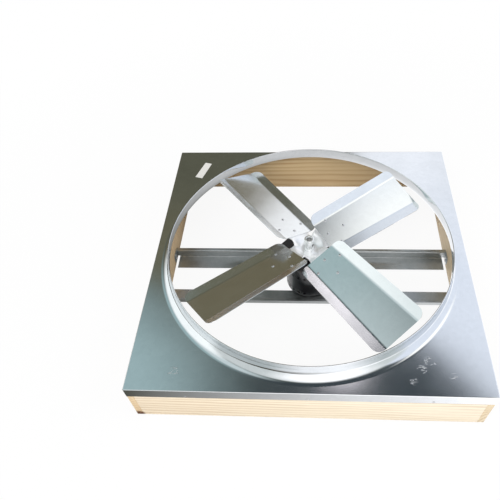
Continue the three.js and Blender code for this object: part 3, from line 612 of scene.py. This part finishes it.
# For each kind: the way its heads face on each side of the fan, and its sizes.
FASTENERS = {
    "skirt_nail": (OUTWARD, {"Head_Radius": 0.0034, "Head_Height": 0.0007, "Dome": 0.0004,
                             "Shank_Radius": 0.0014, "Shank_Length": 0.013}),
    "corner_nail": (OUTWARD, {"Head_Radius": 0.0036, "Head_Height": 0.0007, "Dome": 0.0003,
                              "Shank_Radius": 0.0014, "Shank_Length": 0.05}),
    "strut_screw": (INWARD, {"Head_Radius": 0.0044, "Head_Height": 0.0012, "Dome": 0.0014,
                             "Shank_Radius": 0.0019, "Shank_Length": 0.012}),
}
HEAD_SIDES = 24
DOME_INSET = 0.985


def socket_id(tree, name):
    """The identifier of a node tree's input."""
    return next(s.identifier for s in tree.interface.items_tree if s.name == name and s.in_out == "INPUT")


def geometry_tree(name, inputs):
    """An empty geometry node tree with named inputs, and the sockets at its two ends."""
    tree = bpy.data.node_groups.new(name, "GeometryNodeTree")
    tree.interface.new_socket("Geometry", in_out="INPUT", socket_type="NodeSocketGeometry")
    for label, kind in inputs:
        tree.interface.new_socket(label, in_out="INPUT", socket_type=kind)
    tree.interface.new_socket("Geometry", in_out="OUTPUT", socket_type="NodeSocketGeometry")
    return tree, tree.nodes.new("NodeGroupInput").outputs, tree.nodes.new("NodeGroupOutput").inputs


def grow(piece, tree, **inputs):
    """Runs a geometry node tree on a piece and keeps the result as its plain mesh."""
    modifier = piece.modifiers.new(tree.name, "NODES")
    modifier.node_group = tree
    for key, value in inputs.items():
        modifier[socket_id(tree, key.replace("_", " "))] = value
    return settle(piece)


def set_on(tree, points, shape, turn):
    """Real copies of a shape, one on each point, with the turn given."""
    placed = node(tree, "GeometryNodeInstanceOnPoints",
                  {"Points": points, "Instance": shape, "Rotation": turn})
    return node(tree, "GeometryNodeRealizeInstances", {0: placed.outputs[0]}).outputs[0]


def facing_turn(tree):
    """The turn that lays an upright shape along each point's "facing"."""
    facing = node(tree, "GeometryNodeInputNamedAttribute", {"Name": "facing"}, data_type="FLOAT_VECTOR")
    return node(tree, "FunctionNodeAlignRotationToVector", {"Vector": facing.outputs[0]}, axis="Z").outputs[0]


def coat(tree, shape, material, put):
    """Ends a geometry node tree with a shape in its material."""
    coated = node(tree, "GeometryNodeSetMaterial", {"Geometry": shape, "Material": material})
    tree.links.new(coated.outputs[0], put["Geometry"])


# One head and shank on each point, turned to the point's "facing".
heads_on_points, got, put = geometry_tree("heads on points", [
    ("Head Radius", FLOAT), ("Head Height", FLOAT), ("Dome", FLOAT), ("Shank Radius", FLOAT),
    ("Shank Length", FLOAT), ("Sides", "NodeSocketInt"), ("Material", "NodeSocketMaterial")])
tree = heads_on_points
half_height = math_node(tree, "MULTIPLY", got["Head Height"], 0.5)
disc = node(tree, "GeometryNodeMeshCylinder",
            {"Vertices": got["Sides"], "Radius": got["Head Radius"], "Depth": got["Head Height"]})
lift = node(tree, "ShaderNodeCombineXYZ", {2: half_height})
disc = node(tree, "GeometryNodeTransform", {"Geometry": disc.outputs[0], "Translation": lift.outputs[0]})
ball = node(tree, "GeometryNodeMeshUVSphere", {"Segments": 24, "Rings": 12, "Radius": got["Head Radius"]})
flat = math_node(tree, "DIVIDE", got["Dome"], got["Head Radius"])
squash = node(tree, "ShaderNodeCombineXYZ", {0: DOME_INSET, 1: DOME_INSET, 2: flat})
raise_by = node(tree, "ShaderNodeCombineXYZ", {2: got["Head Height"]})
dome = node(tree, "GeometryNodeTransform", {
    "Geometry": ball.outputs[0], "Translation": raise_by.outputs[0], "Scale": squash.outputs[0]})
shank = node(tree, "GeometryNodeMeshCylinder",
             {"Vertices": 12, "Radius": got["Shank Radius"], "Depth": got["Shank Length"]})
sink = node(tree, "ShaderNodeCombineXYZ", {2: math_node(tree, "MULTIPLY", got["Shank Length"], -0.5)})
shank = node(tree, "GeometryNodeTransform", {"Geometry": shank.outputs[0], "Translation": sink.outputs[0]})
whole = node(tree, "GeometryNodeJoinGeometry")
for shape in (disc, dome, shank):
    tree.links.new(shape.outputs[0], whole.inputs[0])
real = set_on(tree, got["Geometry"], whole.outputs[0], facing_turn(tree))
coat(tree, real, got["Material"], put)


def points_piece(name, points):
    """An object with a loose point, and the way it faces, for each (place, facing)."""
    mesh = bpy.data.meshes.new(name)
    mesh.from_pydata([tuple(place) for place, _ in points], [], [])
    way = mesh.attributes.new("facing", "FLOAT_VECTOR", "POINT")
    way.data.foreach_set("vector", [value for _, facing in points for value in facing])
    piece = bpy.data.objects.new(name, mesh)
    bpy.context.scene.collection.objects.link(piece)
    return piece


def under_head(name, facing, head_height):
    """The middle of a fastener's bearing face, from its CAD solid. It faces along X or Y."""
    low_corner, high_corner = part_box(name)
    half = (high_corner - low_corner) / 2
    reach = sum(abs(part) * size for part, size in zip(facing, half))
    return (low_corner + high_corner) / 2 + Vector(facing) * (reach - head_height)


nail_steel = steel("nail steel", *NAIL_STEEL, rough=(0.25, 0.4), wave=0.1, crystal=0.002, cloud_size=0.01)

for kind, (ways, sizes) in FASTENERS.items():
    fasteners = [n for n in nodes if n.startswith(kind)]
    points = []
    for fastener in fasteners:
        # The last word of the name that is a side tells where the fastener is.
        side = next(word for word in reversed(fastener.split("_")) if word in ways)
        points.append((under_head(fastener, ways[side], sizes["Head_Height"] + sizes["Dome"]), ways[side]))
    piece = grow(points_piece(kind + "_heads", points), heads_on_points, Sides=HEAD_SIDES,
                 Material=nail_steel, **sizes)
    dress(piece, nail_steel, "fastener_steel", "frame", *fasteners)


# ---- Struts -----------------------------------------------------------------------------------------
# Two galvanised strips, bent to a flange for the motor, an upright web and a stiffening lip, with a
# tab at each end screwed to the side boards. They are duller than the panel.

STRUT_TONES = ((0.54, 0.56, 0.56), (0.40, 0.42, 0.42))

strut_zinc = steel("strut zinc", *STRUT_TONES, rough=(0.3, 0.4), wave=0.1, crystal=0.006, cloud_size=0.08)
for strut in ("strut_rear", "strut_front"):
    nodes[strut].material_slots[0].material = strut_zinc


# ---- Motor ------------------------------------------------------------------------------------------
# An upright, black painted motor: a rolled shell between two cast end bells, with vent holes in the
# shell and the lower bell. Four long bolts clamp it together and to the struts.

MOTOR_RADIUS = 0.066
MOTOR_STEPS = 96
BLACK = (0.012, 0.012, 0.014)
BLACK_WORN, WORN_SHARE = (0.03, 0.031, 0.034), 0.4
ENAMEL_ROUGH = (0.16, 0.22)
BOLT_TONES = ((0.5, 0.51, 0.52), (0.36, 0.37, 0.38))
CORE_TONES = ((0.3, 0.31, 0.32), (0.2, 0.2, 0.21))
COPPER_TONES = ((0.62, 0.30, 0.13), (0.42, 0.18, 0.07))
MOTOR_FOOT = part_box("motor_rear_bell")[0].z
SHELL_LOW, SHELL_HIGH = (corner.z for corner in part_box("motor_shell"))
DRIVE_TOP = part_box("motor_drive_bell")[1].z
SHELL_SHEET = 0.0016
SEAM = 0.0003
BELL_WALL, BELL_FLOOR = 0.0035, 0.004
BELL_SHOULDER = 0.005
RIM_RISE, RIM_OUT = 0.003, 0.0004
# The bearing seats: a boss in each bell, a bore for the bearing, and a lip with the shaft's bore.
SEAT_RADIUS = 0.022
SEAT_RISE, LOWER_SEAT_RISE = 0.012, 0.0165
SEAT_SKIRT, SEAT_FILLET, SEAT_EDGE = 0.0005, 0.003, 0.002
BEARING_BORE, SHAFT_BORE, BORE_LIP = 0.01765, 0.0104, 0.0025
VENT_RADIUS = 0.004
VENT_DEPTH = 0.014
LOWER_VENTS, SHELL_VENTS = 0.0155, 0.082
VENT_MIDDLES = (47.3, 227.3)
VENT_PITCH = 16
VENTS_IN_ROW = 5


def lathe(name, profile, steps=MOTOR_STEPS, closed=True):
    """A profile of (radius, height) points turned about the Z axis."""
    line = profile + profile[:1] if closed else profile
    vertices = []
    for i in range(steps):
        angle = 2 * math.pi * i / steps
        vertices += [(r * math.cos(angle), r * math.sin(angle), z) for r, z in line]
    return mesh_piece(name, vertices, grid_faces(steps, len(line), wrapped=True))


# Holes through a wall at each point, square to it.
holes_at_points, got, put = geometry_tree("holes at points", [
    ("Points", "NodeSocketObject"), ("Hole Radius", FLOAT), ("Depth", FLOAT),
    ("Material", "NodeSocketMaterial")])
tree = holes_at_points
marks = node(tree, "GeometryNodeObjectInfo", {"Object": got["Points"]}, transform_space="RELATIVE")
drill = node(tree, "GeometryNodeMeshCylinder",
             {"Vertices": 24, "Radius": got["Hole Radius"], "Depth": got["Depth"]})
drills = set_on(tree, marks.outputs["Geometry"], drill.outputs[0], facing_turn(tree))
bored = node(tree, "GeometryNodeMeshBoolean", {0: got["Geometry"], 1: drills}, operation="DIFFERENCE")
coat(tree, bored.outputs[0], got["Material"], put)


def bore(piece, marks, radius, depth, material):
    """Bores a piece at each mark, and takes the marks away."""
    grow(piece, holes_at_points, Points=marks, Hole_Radius=radius, Depth=depth, Material=material)
    bpy.data.objects.remove(marks)


def black_enamel(name):
    """Satin black enamel, a little dusty and worn."""
    material = bpy.data.materials.new(name)
    tree = new_tree(material)
    place = node(tree, "ShaderNodeTexCoord").outputs["Object"]
    skin = use_group(tree, zinc_skin, Vector=place, Crystal_Size=0.0008, Cloud_Size=0.03)
    bump = node(tree, "ShaderNodeBump", {"Strength": 0.05, "Distance": 0.0002, "Height": skin["Tone"]})
    shader = node(tree, "ShaderNodeBsdfPrincipled", {
        "Base Color": mixed(tree, math_node(tree, "MULTIPLY", skin["Cloud"], WORN_SHARE), BLACK, BLACK_WORN),
        "Roughness": ranged(tree, skin["Cloud"], 0, 1, *ENAMEL_ROUGH),
        "Coat Weight": 0.5,
        "Coat Roughness": 0.15,
        "Normal": bump.outputs[0],
    })
    node(tree, "ShaderNodeOutputMaterial", {0: shader.outputs[0]})
    return material


def vent_points(name, height):
    """Marks for the two rows of vents, on opposite sides of the motor."""
    points = []
    for middle in VENT_MIDDLES:
        for i in range(VENTS_IN_ROW):
            angle = math.radians(middle + (i - (VENTS_IN_ROW - 1) / 2) * VENT_PITCH)
            way = Vector((math.cos(angle), math.sin(angle), 0))
            points.append((way * MOTOR_RADIUS + Vector((0, 0, height)), way))
    return points_piece(name, points)


motor_black = black_enamel("motor black")
wall_in = MOTOR_RADIUS - BELL_WALL
bell_rim = SHELL_LOW - RIM_RISE
bell_floor, seat_top, lip_top = (MOTOR_FOOT + rise for rise in (BELL_FLOOR, LOWER_SEAT_RISE, BORE_LIP))
shoulder = arc_points((MOTOR_RADIUS - BELL_SHOULDER, MOTOR_FOOT + BELL_SHOULDER), BELL_SHOULDER, 270, 360, 6)
rear_bell = [(SHAFT_BORE, MOTOR_FOOT)] + shoulder + [
    (MOTOR_RADIUS, bell_rim), (MOTOR_RADIUS + RIM_OUT, bell_rim + RIM_OUT),
    (MOTOR_RADIUS + RIM_OUT, SHELL_LOW - SEAM), (wall_in, SHELL_LOW - SEAM),
    (wall_in, bell_floor), (SEAT_RADIUS, bell_floor), (SEAT_RADIUS, seat_top), (BEARING_BORE, seat_top),
    (BEARING_BORE, lip_top), (SHAFT_BORE, lip_top)]
piece = lathe("motor_lower_bell", rear_bell)
marks = vent_points("lower vent marks", MOTOR_FOOT + LOWER_VENTS)
bore(piece, marks, VENT_RADIUS, VENT_DEPTH, motor_black)
dress(piece, motor_black, "black_paint", "frame", "motor_rear_bell")

shell_in = MOTOR_RADIUS - SHELL_SHEET
shell = [(MOTOR_RADIUS, SHELL_LOW + SEAM), (MOTOR_RADIUS, SHELL_HIGH - SEAM),
         (shell_in, SHELL_HIGH - SEAM), (shell_in, SHELL_LOW + SEAM)]
piece = lathe("motor_rolled_shell", shell)
marks = vent_points("shell vent marks", MOTOR_FOOT + SHELL_VENTS)
bore(piece, marks, VENT_RADIUS, VENT_DEPTH, motor_black)
dress(piece, motor_black, "black_paint", "frame", "motor_shell")

bell_top = DRIVE_TOP - SEAT_RISE
bell_under = bell_top - BELL_FLOOR
seat_foot, lip_under = bell_under - SEAT_SKIRT, DRIVE_TOP - BORE_LIP
drive_bell = [(wall_in, SHELL_HIGH + SEAM), (MOTOR_RADIUS, SHELL_HIGH + SEAM)]
drive_bell += arc_points((MOTOR_RADIUS - BELL_SHOULDER, bell_top - BELL_SHOULDER), BELL_SHOULDER, 0, 90, 6)
drive_bell += arc_points((SEAT_RADIUS + SEAT_FILLET, bell_top + SEAT_FILLET), SEAT_FILLET, 270, 180, 4)
drive_bell += arc_points((SEAT_RADIUS - SEAT_EDGE, DRIVE_TOP - SEAT_EDGE), SEAT_EDGE, 0, 90, 4)
drive_bell += [
    (SHAFT_BORE, DRIVE_TOP), (SHAFT_BORE, lip_under), (BEARING_BORE, lip_under), (BEARING_BORE, seat_foot),
    (SEAT_RADIUS, seat_foot), (SEAT_RADIUS, bell_under), (wall_in, bell_under)]
piece = lathe("motor_upper_bell", drive_bell)
settle(piece)
dress(piece, motor_black, "black_paint", "frame", "motor_drive_bell")

nodes["capacitor_box"].material_slots[0].material = motor_black
bolt_steel = steel("bolt steel", *BOLT_TONES, rough=(0.3, 0.45), wave=0.05, crystal=0.002, cloud_size=0.01)
for name in nodes:
    if name.startswith(("motor_bolt", "motor_nut", "bearing")):
        nodes[name].material_slots[0].material = bolt_steel

core_steel = steel("lamination steel", *CORE_TONES, rough=(0.4, 0.55), wave=0.1, crystal=0.004,
                   cloud_size=0.02)
for name in ("stator_core", "rotor_core"):
    nodes[name].material_slots[0].material = core_steel

winding_copper = steel("winding copper", *COPPER_TONES, rough=(0.3, 0.45), wave=0.4, crystal=0.002,
                       cloud_size=0.01)
nodes["stator_winding"].material_slots[0].material = winding_copper


# ---- Hub --------------------------------------------------------------------------------------------
# A turned steel boss on the ground motor shaft, held by a socket set screw. Its foot flange carries
# the spider, and the shaft ends a little below the boss's top.

HUB_LOW, HUB_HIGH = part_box("hub_boss")
BOSS_RADIUS = 0.0135
BOSS_BORE = 0.0081
BOSS_EDGE, BOSS_CHAMFER = 0.0015, 0.0006
FOOT_THICK = 0.004
FOOT_RADIUS = HUB_HIGH.x
SHAFT_RADIUS = 0.00794
SHAFT_LOW, SHAFT_HIGH = (corner.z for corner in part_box("motor_shaft"))
SHAFT_CHAMFER, SHAFT_FOOT_CHAMFER = 0.0008, 0.0006
CENTRE_MARK = 0.0016
SCREW_AZIMUTH = -33.6
SCREW_HEIGHT = 0.1718
SCREW_RADIUS = 0.0046
SCREW_PLAY = 0.0003
SCREW_OUT, SCREW_DEPTH = 0.012, 0.012
HUB_STEPS = 64
BOSS_TONES = ((0.93, 0.95, 0.95), (0.84, 0.86, 0.86))
SHAFT_TONES = ((0.62, 0.63, 0.64), (0.5, 0.51, 0.52))

hub_steel = steel("hub steel", *BOSS_TONES, rough=(0.2, 0.28), wave=0.03, crystal=0.003, cloud_size=0.03,
                  metal=0.8)
foot_top = HUB_LOW.z + FOOT_THICK
boss = [(BOSS_BORE, HUB_LOW.z), (FOOT_RADIUS - BOSS_CHAMFER, HUB_LOW.z),
        (FOOT_RADIUS, HUB_LOW.z + BOSS_CHAMFER), (FOOT_RADIUS, foot_top), (BOSS_RADIUS, foot_top)]
boss += arc_points((BOSS_RADIUS - BOSS_EDGE, HUB_HIGH.z - BOSS_EDGE), BOSS_EDGE, 0, 90, 4)
boss += [(BOSS_BORE + BOSS_CHAMFER, HUB_HIGH.z), (BOSS_BORE, HUB_HIGH.z - BOSS_CHAMFER)]
piece = lathe("hub_boss_turned", boss, steps=HUB_STEPS)
way = Vector((math.cos(math.radians(SCREW_AZIMUTH)), math.sin(math.radians(SCREW_AZIMUTH)), 0))
marks = points_piece("set screw mark", [(way * SCREW_OUT + Vector((0, 0, SCREW_HEIGHT)), way)])
bore(piece, marks, SCREW_RADIUS + SCREW_PLAY, SCREW_DEPTH, hub_steel)
dress(piece, hub_steel, "hub_steel", "rotor", "hub_boss")

shaft = [(0, SHAFT_LOW), (SHAFT_RADIUS - SHAFT_FOOT_CHAMFER, SHAFT_LOW),
         (SHAFT_RADIUS, SHAFT_LOW + SHAFT_FOOT_CHAMFER), (SHAFT_RADIUS, SHAFT_HIGH - SHAFT_CHAMFER),
         (SHAFT_RADIUS - SHAFT_CHAMFER, SHAFT_HIGH), (CENTRE_MARK, SHAFT_HIGH),
         (0, SHAFT_HIGH - CENTRE_MARK)]
piece = lathe("shaft_ground", shaft, steps=HUB_STEPS, closed=False)
settle(piece)
shaft_steel = steel("shaft steel", *SHAFT_TONES, rough=(0.2, 0.3), wave=0.05, crystal=0.002, cloud_size=0.01)
dress(piece, shaft_steel, "hub_steel", "rotor", "motor_shaft")
nodes["hub_set_screw"].material_slots[0].material = motor_black


# ---- Spider -----------------------------------------------------------------------------------------
# A stamped steel plate: a dished centre on the hub's foot, and four spade-shaped arms twisted to lie
# along the blades, which are riveted to them.

BLADE_COUNT = 4
REST_AZIMUTH = -51.6
BLADE_PITCH = math.radians(17)
BLADE_FACE = 0.164
BLADE_SHEET = 0.0012
BLADE_ROOT = 0.048
SEAT_GAP = 0.0003
SPIDER_THICK = 0.003
PRESSED_EDGE, PRESSED_FROM = 0.0005, 50
BOSS_GAP = 0.00015
DISH_TOP = 0.150
DISH_RADIUS = 0.020
DISH_RIM = BLADE_ROOT - 0.002
WAIST_RADIUS = 0.042
WAIST_MARGIN = 0.002
WAIST_DROP = 0.0044
TWIST_START, TWIST_FULL = 0.012, 0.034
NECK = (BLADE_ROOT - 0.001, 0.0305)
WING_RADIUS, WING_HALF, ARM_TIP = 0.090, 0.050, 0.137
DISH_STEPS, WAIST_STEPS, WING_STEPS, TIP_STEPS = 12, 6, 4, 12
SPIDER_TONES = ((0.90, 0.91, 0.92), (0.82, 0.83, 0.84))


def eased(value, start, end):
    """From 0 at start to 1 at end, smooth at both."""
    t = min(max((value - start) / (end - start), 0), 1)
    return t * t * (3 - 2 * t)


def arm_edge():
    """Half of an arm's edge, from the waist beside it to its tip, as points in plan."""
    neck_angle, neck_reach = math.atan2(NECK[1], NECK[0]), math.hypot(*NECK)
    edge = []
    for share in even(1, 0, WAIST_STEPS)[:-1]:
        reach = WAIST_RADIUS + (neck_reach - WAIST_RADIUS) * (1 - share) ** 2
        angle = neck_angle + (math.pi / BLADE_COUNT - neck_angle) * share
        edge.append((reach * math.cos(angle), reach * math.sin(angle)))
    side = list(zip(even(NECK[0], WING_RADIUS, WING_STEPS), even(NECK[1], WING_HALF, WING_STEPS)))[:-1]
    tip = arc_points((0, 0), 1, 90, 0, TIP_STEPS)
    return edge + side + [(WING_RADIUS + (ARM_TIP - WING_RADIUS) * a, WING_HALF * b) for a, b in tip]


def spider_height(x, y):
    """The height of the spider's upper face, at a place in the plan of an arm that lies along X."""
    off_arm = abs(math.atan2(y, x))
    reach = math.hypot(x, y)
    full = math.atan2(NECK[1], NECK[0]) * eased(reach, TWIST_START, TWIST_FULL)
    twist = 1 - eased(off_arm, full, math.pi / BLADE_COUNT)
    seat = BLADE_FACE - (BLADE_SHEET + SEAT_GAP) / math.cos(BLADE_PITCH)
    arm = seat + y * math.tan(BLADE_PITCH) * twist - WAIST_DROP * (1 - twist)
    return DISH_TOP + (arm - DISH_TOP) * eased(reach, DISH_RADIUS, DISH_RIM)


# Copies of a piece round the upright axis, an even turn apart.
round_the_axis, got, put = geometry_tree("round the axis", [
    ("Copies", "NodeSocketInt"), ("Merge", FLOAT), ("Material", "NodeSocketMaterial")])
tree = round_the_axis
copies = node(tree, "GeometryNodePoints", {"Count": got["Copies"]})
step = math_node(tree, "DIVIDE", 2 * math.pi, got["Copies"])
count = node(tree, "GeometryNodeInputIndex")
spin = node(tree, "ShaderNodeCombineXYZ", {2: math_node(tree, "MULTIPLY", count.outputs[0], step)})
real = set_on(tree, copies.outputs[0], got["Geometry"], spin.outputs[0])
welded = node(tree, "GeometryNodeMergeByDistance", {"Geometry": real, "Distance": got["Merge"]})
coat(tree, welded.outputs[0], got["Material"], put)


def face_up(piece):
    """Turns a sheet's faces upward."""
    if sum(face.normal.z for face in piece.data.polygons) < 0:
        piece.data.flip_normals()


spider_steel = steel("spider steel", *SPIDER_TONES, rough=(0.28, 0.36), wave=0.03, crystal=0.003,
                     cloud_size=0.03, metal=0.6)
edge = arm_edge()
edge = [(x, -y) for x, y in edge] + [(x, y) for x, y in reversed(edge[:-1])]
turn = math.radians(REST_AZIMUTH)
dish_start = BOSS_RADIUS + BOSS_GAP
inner = even(dish_start, dish_start + WAIST_RADIUS - WAIST_MARGIN - BOSS_RADIUS, DISH_STEPS)
vertices = []
for x, y in edge:
    reach, angle = math.hypot(x, y), math.atan2(y, x)
    shoulder = min(DISH_RIM, (inner[-1] + reach) / 2)
    for radius in inner + [shoulder, (shoulder + reach) / 2, reach]:
        height = spider_height(radius * math.cos(angle), radius * math.sin(angle))
        vertices.append((radius * math.cos(angle + turn), radius * math.sin(angle + turn), height))
piece = mesh_piece("spider_arm_sheet", vertices, grid_faces(len(edge), len(vertices) // len(edge)))
face_up(piece)
grow(piece, round_the_axis, Copies=BLADE_COUNT, Merge=1e-5, Material=spider_steel)
piece.name = "spider_plate"
thicken(piece, SPIDER_THICK, offset=-1)
bevel = piece.modifiers.new("pressed edge", "BEVEL")
bevel.width = PRESSED_EDGE
bevel.segments = 2
bevel.angle_limit = math.radians(PRESSED_FROM)
settle(piece)
dress(piece, spider_steel, "hub_steel", "rotor", "spider")


# ---- Blades -----------------------------------------------------------------------------------------
# Four blades pressed from bright galvanised sheet, flat along the middle with both long edges bent
# up and all corners rounded. Each is riveted on top of an arm of the spider.

BLADE_TIP = 0.366
ROOT_HALF, TIP_HALF = 0.071, 0.079
ROOT_FLANGE, TIP_FLANGE = 0.028, 0.027
CREASE_HALF = 0.0035
FLANGE_SLOPE = math.tan(math.radians(15))
CORNER = 0.022
FLAT_STEPS, CREASE_STEPS, FLANGE_STEPS = 4, 6, 3
CORNER_STEPS, LENGTH_STEPS = 9, 14
CLOSE_BY = 0.001  # how near a crease the flats' last points stand
RIVETS = ((0.0685, 0), (0.088, -0.039), (0.088, 0.039), (0.1243, 0))
RIVET_LIFT = 0.00005
BLADE_TONES = ((0.80, 0.825, 0.83), (0.72, 0.74, 0.745))
RIVET_TONES = ((0.7, 0.7, 0.71), (0.5, 0.5, 0.51))


def blade_frame(azimuth):
    """From a blade's own frame, along its length and across it, to the fan's."""
    turn = Matrix.Rotation(math.radians(azimuth), 4, "Z")
    return turn @ Matrix.Translation((0, 0, BLADE_FACE)) @ Matrix.Rotation(BLADE_PITCH, 4, "X")


def blade_row(out):
    """The points across a blade, at one place along its length."""
    share = (out - BLADE_ROOT) / (BLADE_TIP - BLADE_ROOT)
    width = ROOT_HALF + (TIP_HALF - ROOT_HALF) * share
    crease = width - (ROOT_FLANGE + (TIP_FLANGE - ROOT_FLANGE) * share)
    short = CORNER - min(out - BLADE_ROOT, BLADE_TIP - out, CORNER)
    end = width - CORNER + math.sqrt(max(CORNER ** 2 - short ** 2, 0))
    half = even(0, crease - CREASE_HALF - CLOSE_BY, FLAT_STEPS)
    half += even(crease - CREASE_HALF, crease + CREASE_HALF, CREASE_STEPS)
    half += even(crease + CREASE_HALF + CLOSE_BY, end, FLANGE_STEPS)
    row = []
    for y in [-y for y in reversed(half[1:])] + half:
        past = max(abs(y) - crease + CREASE_HALF, 0)
        bent = min(past, 2 * CREASE_HALF)
        row.append((out, y, FLANGE_SLOPE * (bent ** 2 / (4 * CREASE_HALF) + past - bent)))
    return row


blade_zinc = steel("blade zinc", *BLADE_TONES, rough=(0.15, 0.21), wave=0.08, cloud_size=0.2)
ends = [CORNER * (1 - math.cos(math.radians(angle))) for angle in even(0, 90, CORNER_STEPS)]
middle = even(BLADE_ROOT + CORNER, BLADE_TIP - CORNER, LENGTH_STEPS)[1:-1]
outs = [BLADE_ROOT + e for e in ends] + middle + [BLADE_TIP - e for e in reversed(ends)]
rows = [blade_row(out) for out in outs]
first_blade = blade_frame(REST_AZIMUTH)
piece = mesh_piece("blade_sheets", [first_blade @ Vector(p) for row in rows for p in row],
                   grid_faces(len(rows), len(rows[0])))
face_up(piece)
thicken(piece, BLADE_SHEET, offset=-1)
grow(piece, round_the_axis, Copies=BLADE_COUNT, Merge=0.0, Material=blade_zinc)
dress(piece, blade_zinc, "blade_steel", "rotor", *[n for n in nodes if n.startswith("blade_")])

points = []
for k in range(BLADE_COUNT):
    place = blade_frame(REST_AZIMUTH + 360 / BLADE_COUNT * k)
    up_way = place.to_3x3() @ Vector((0, 0, 1))
    points += [(place @ Vector((x, y, RIVET_LIFT)), up_way) for x, y in RIVETS]
rivet_steel = steel("rivet steel", *RIVET_TONES, rough=(0.25, 0.35), wave=0.05, crystal=0.002,
                    cloud_size=0.01)
piece = grow(points_piece("blade_rivets", points), heads_on_points, Head_Radius=0.0038, Head_Height=0.0005,
             Dome=0.0014, Shank_Radius=0.0024, Shank_Length=0.006, Sides=HEAD_SIDES, Material=rivet_steel)
dress(piece, rivet_steel, "hub_steel", "rotor")
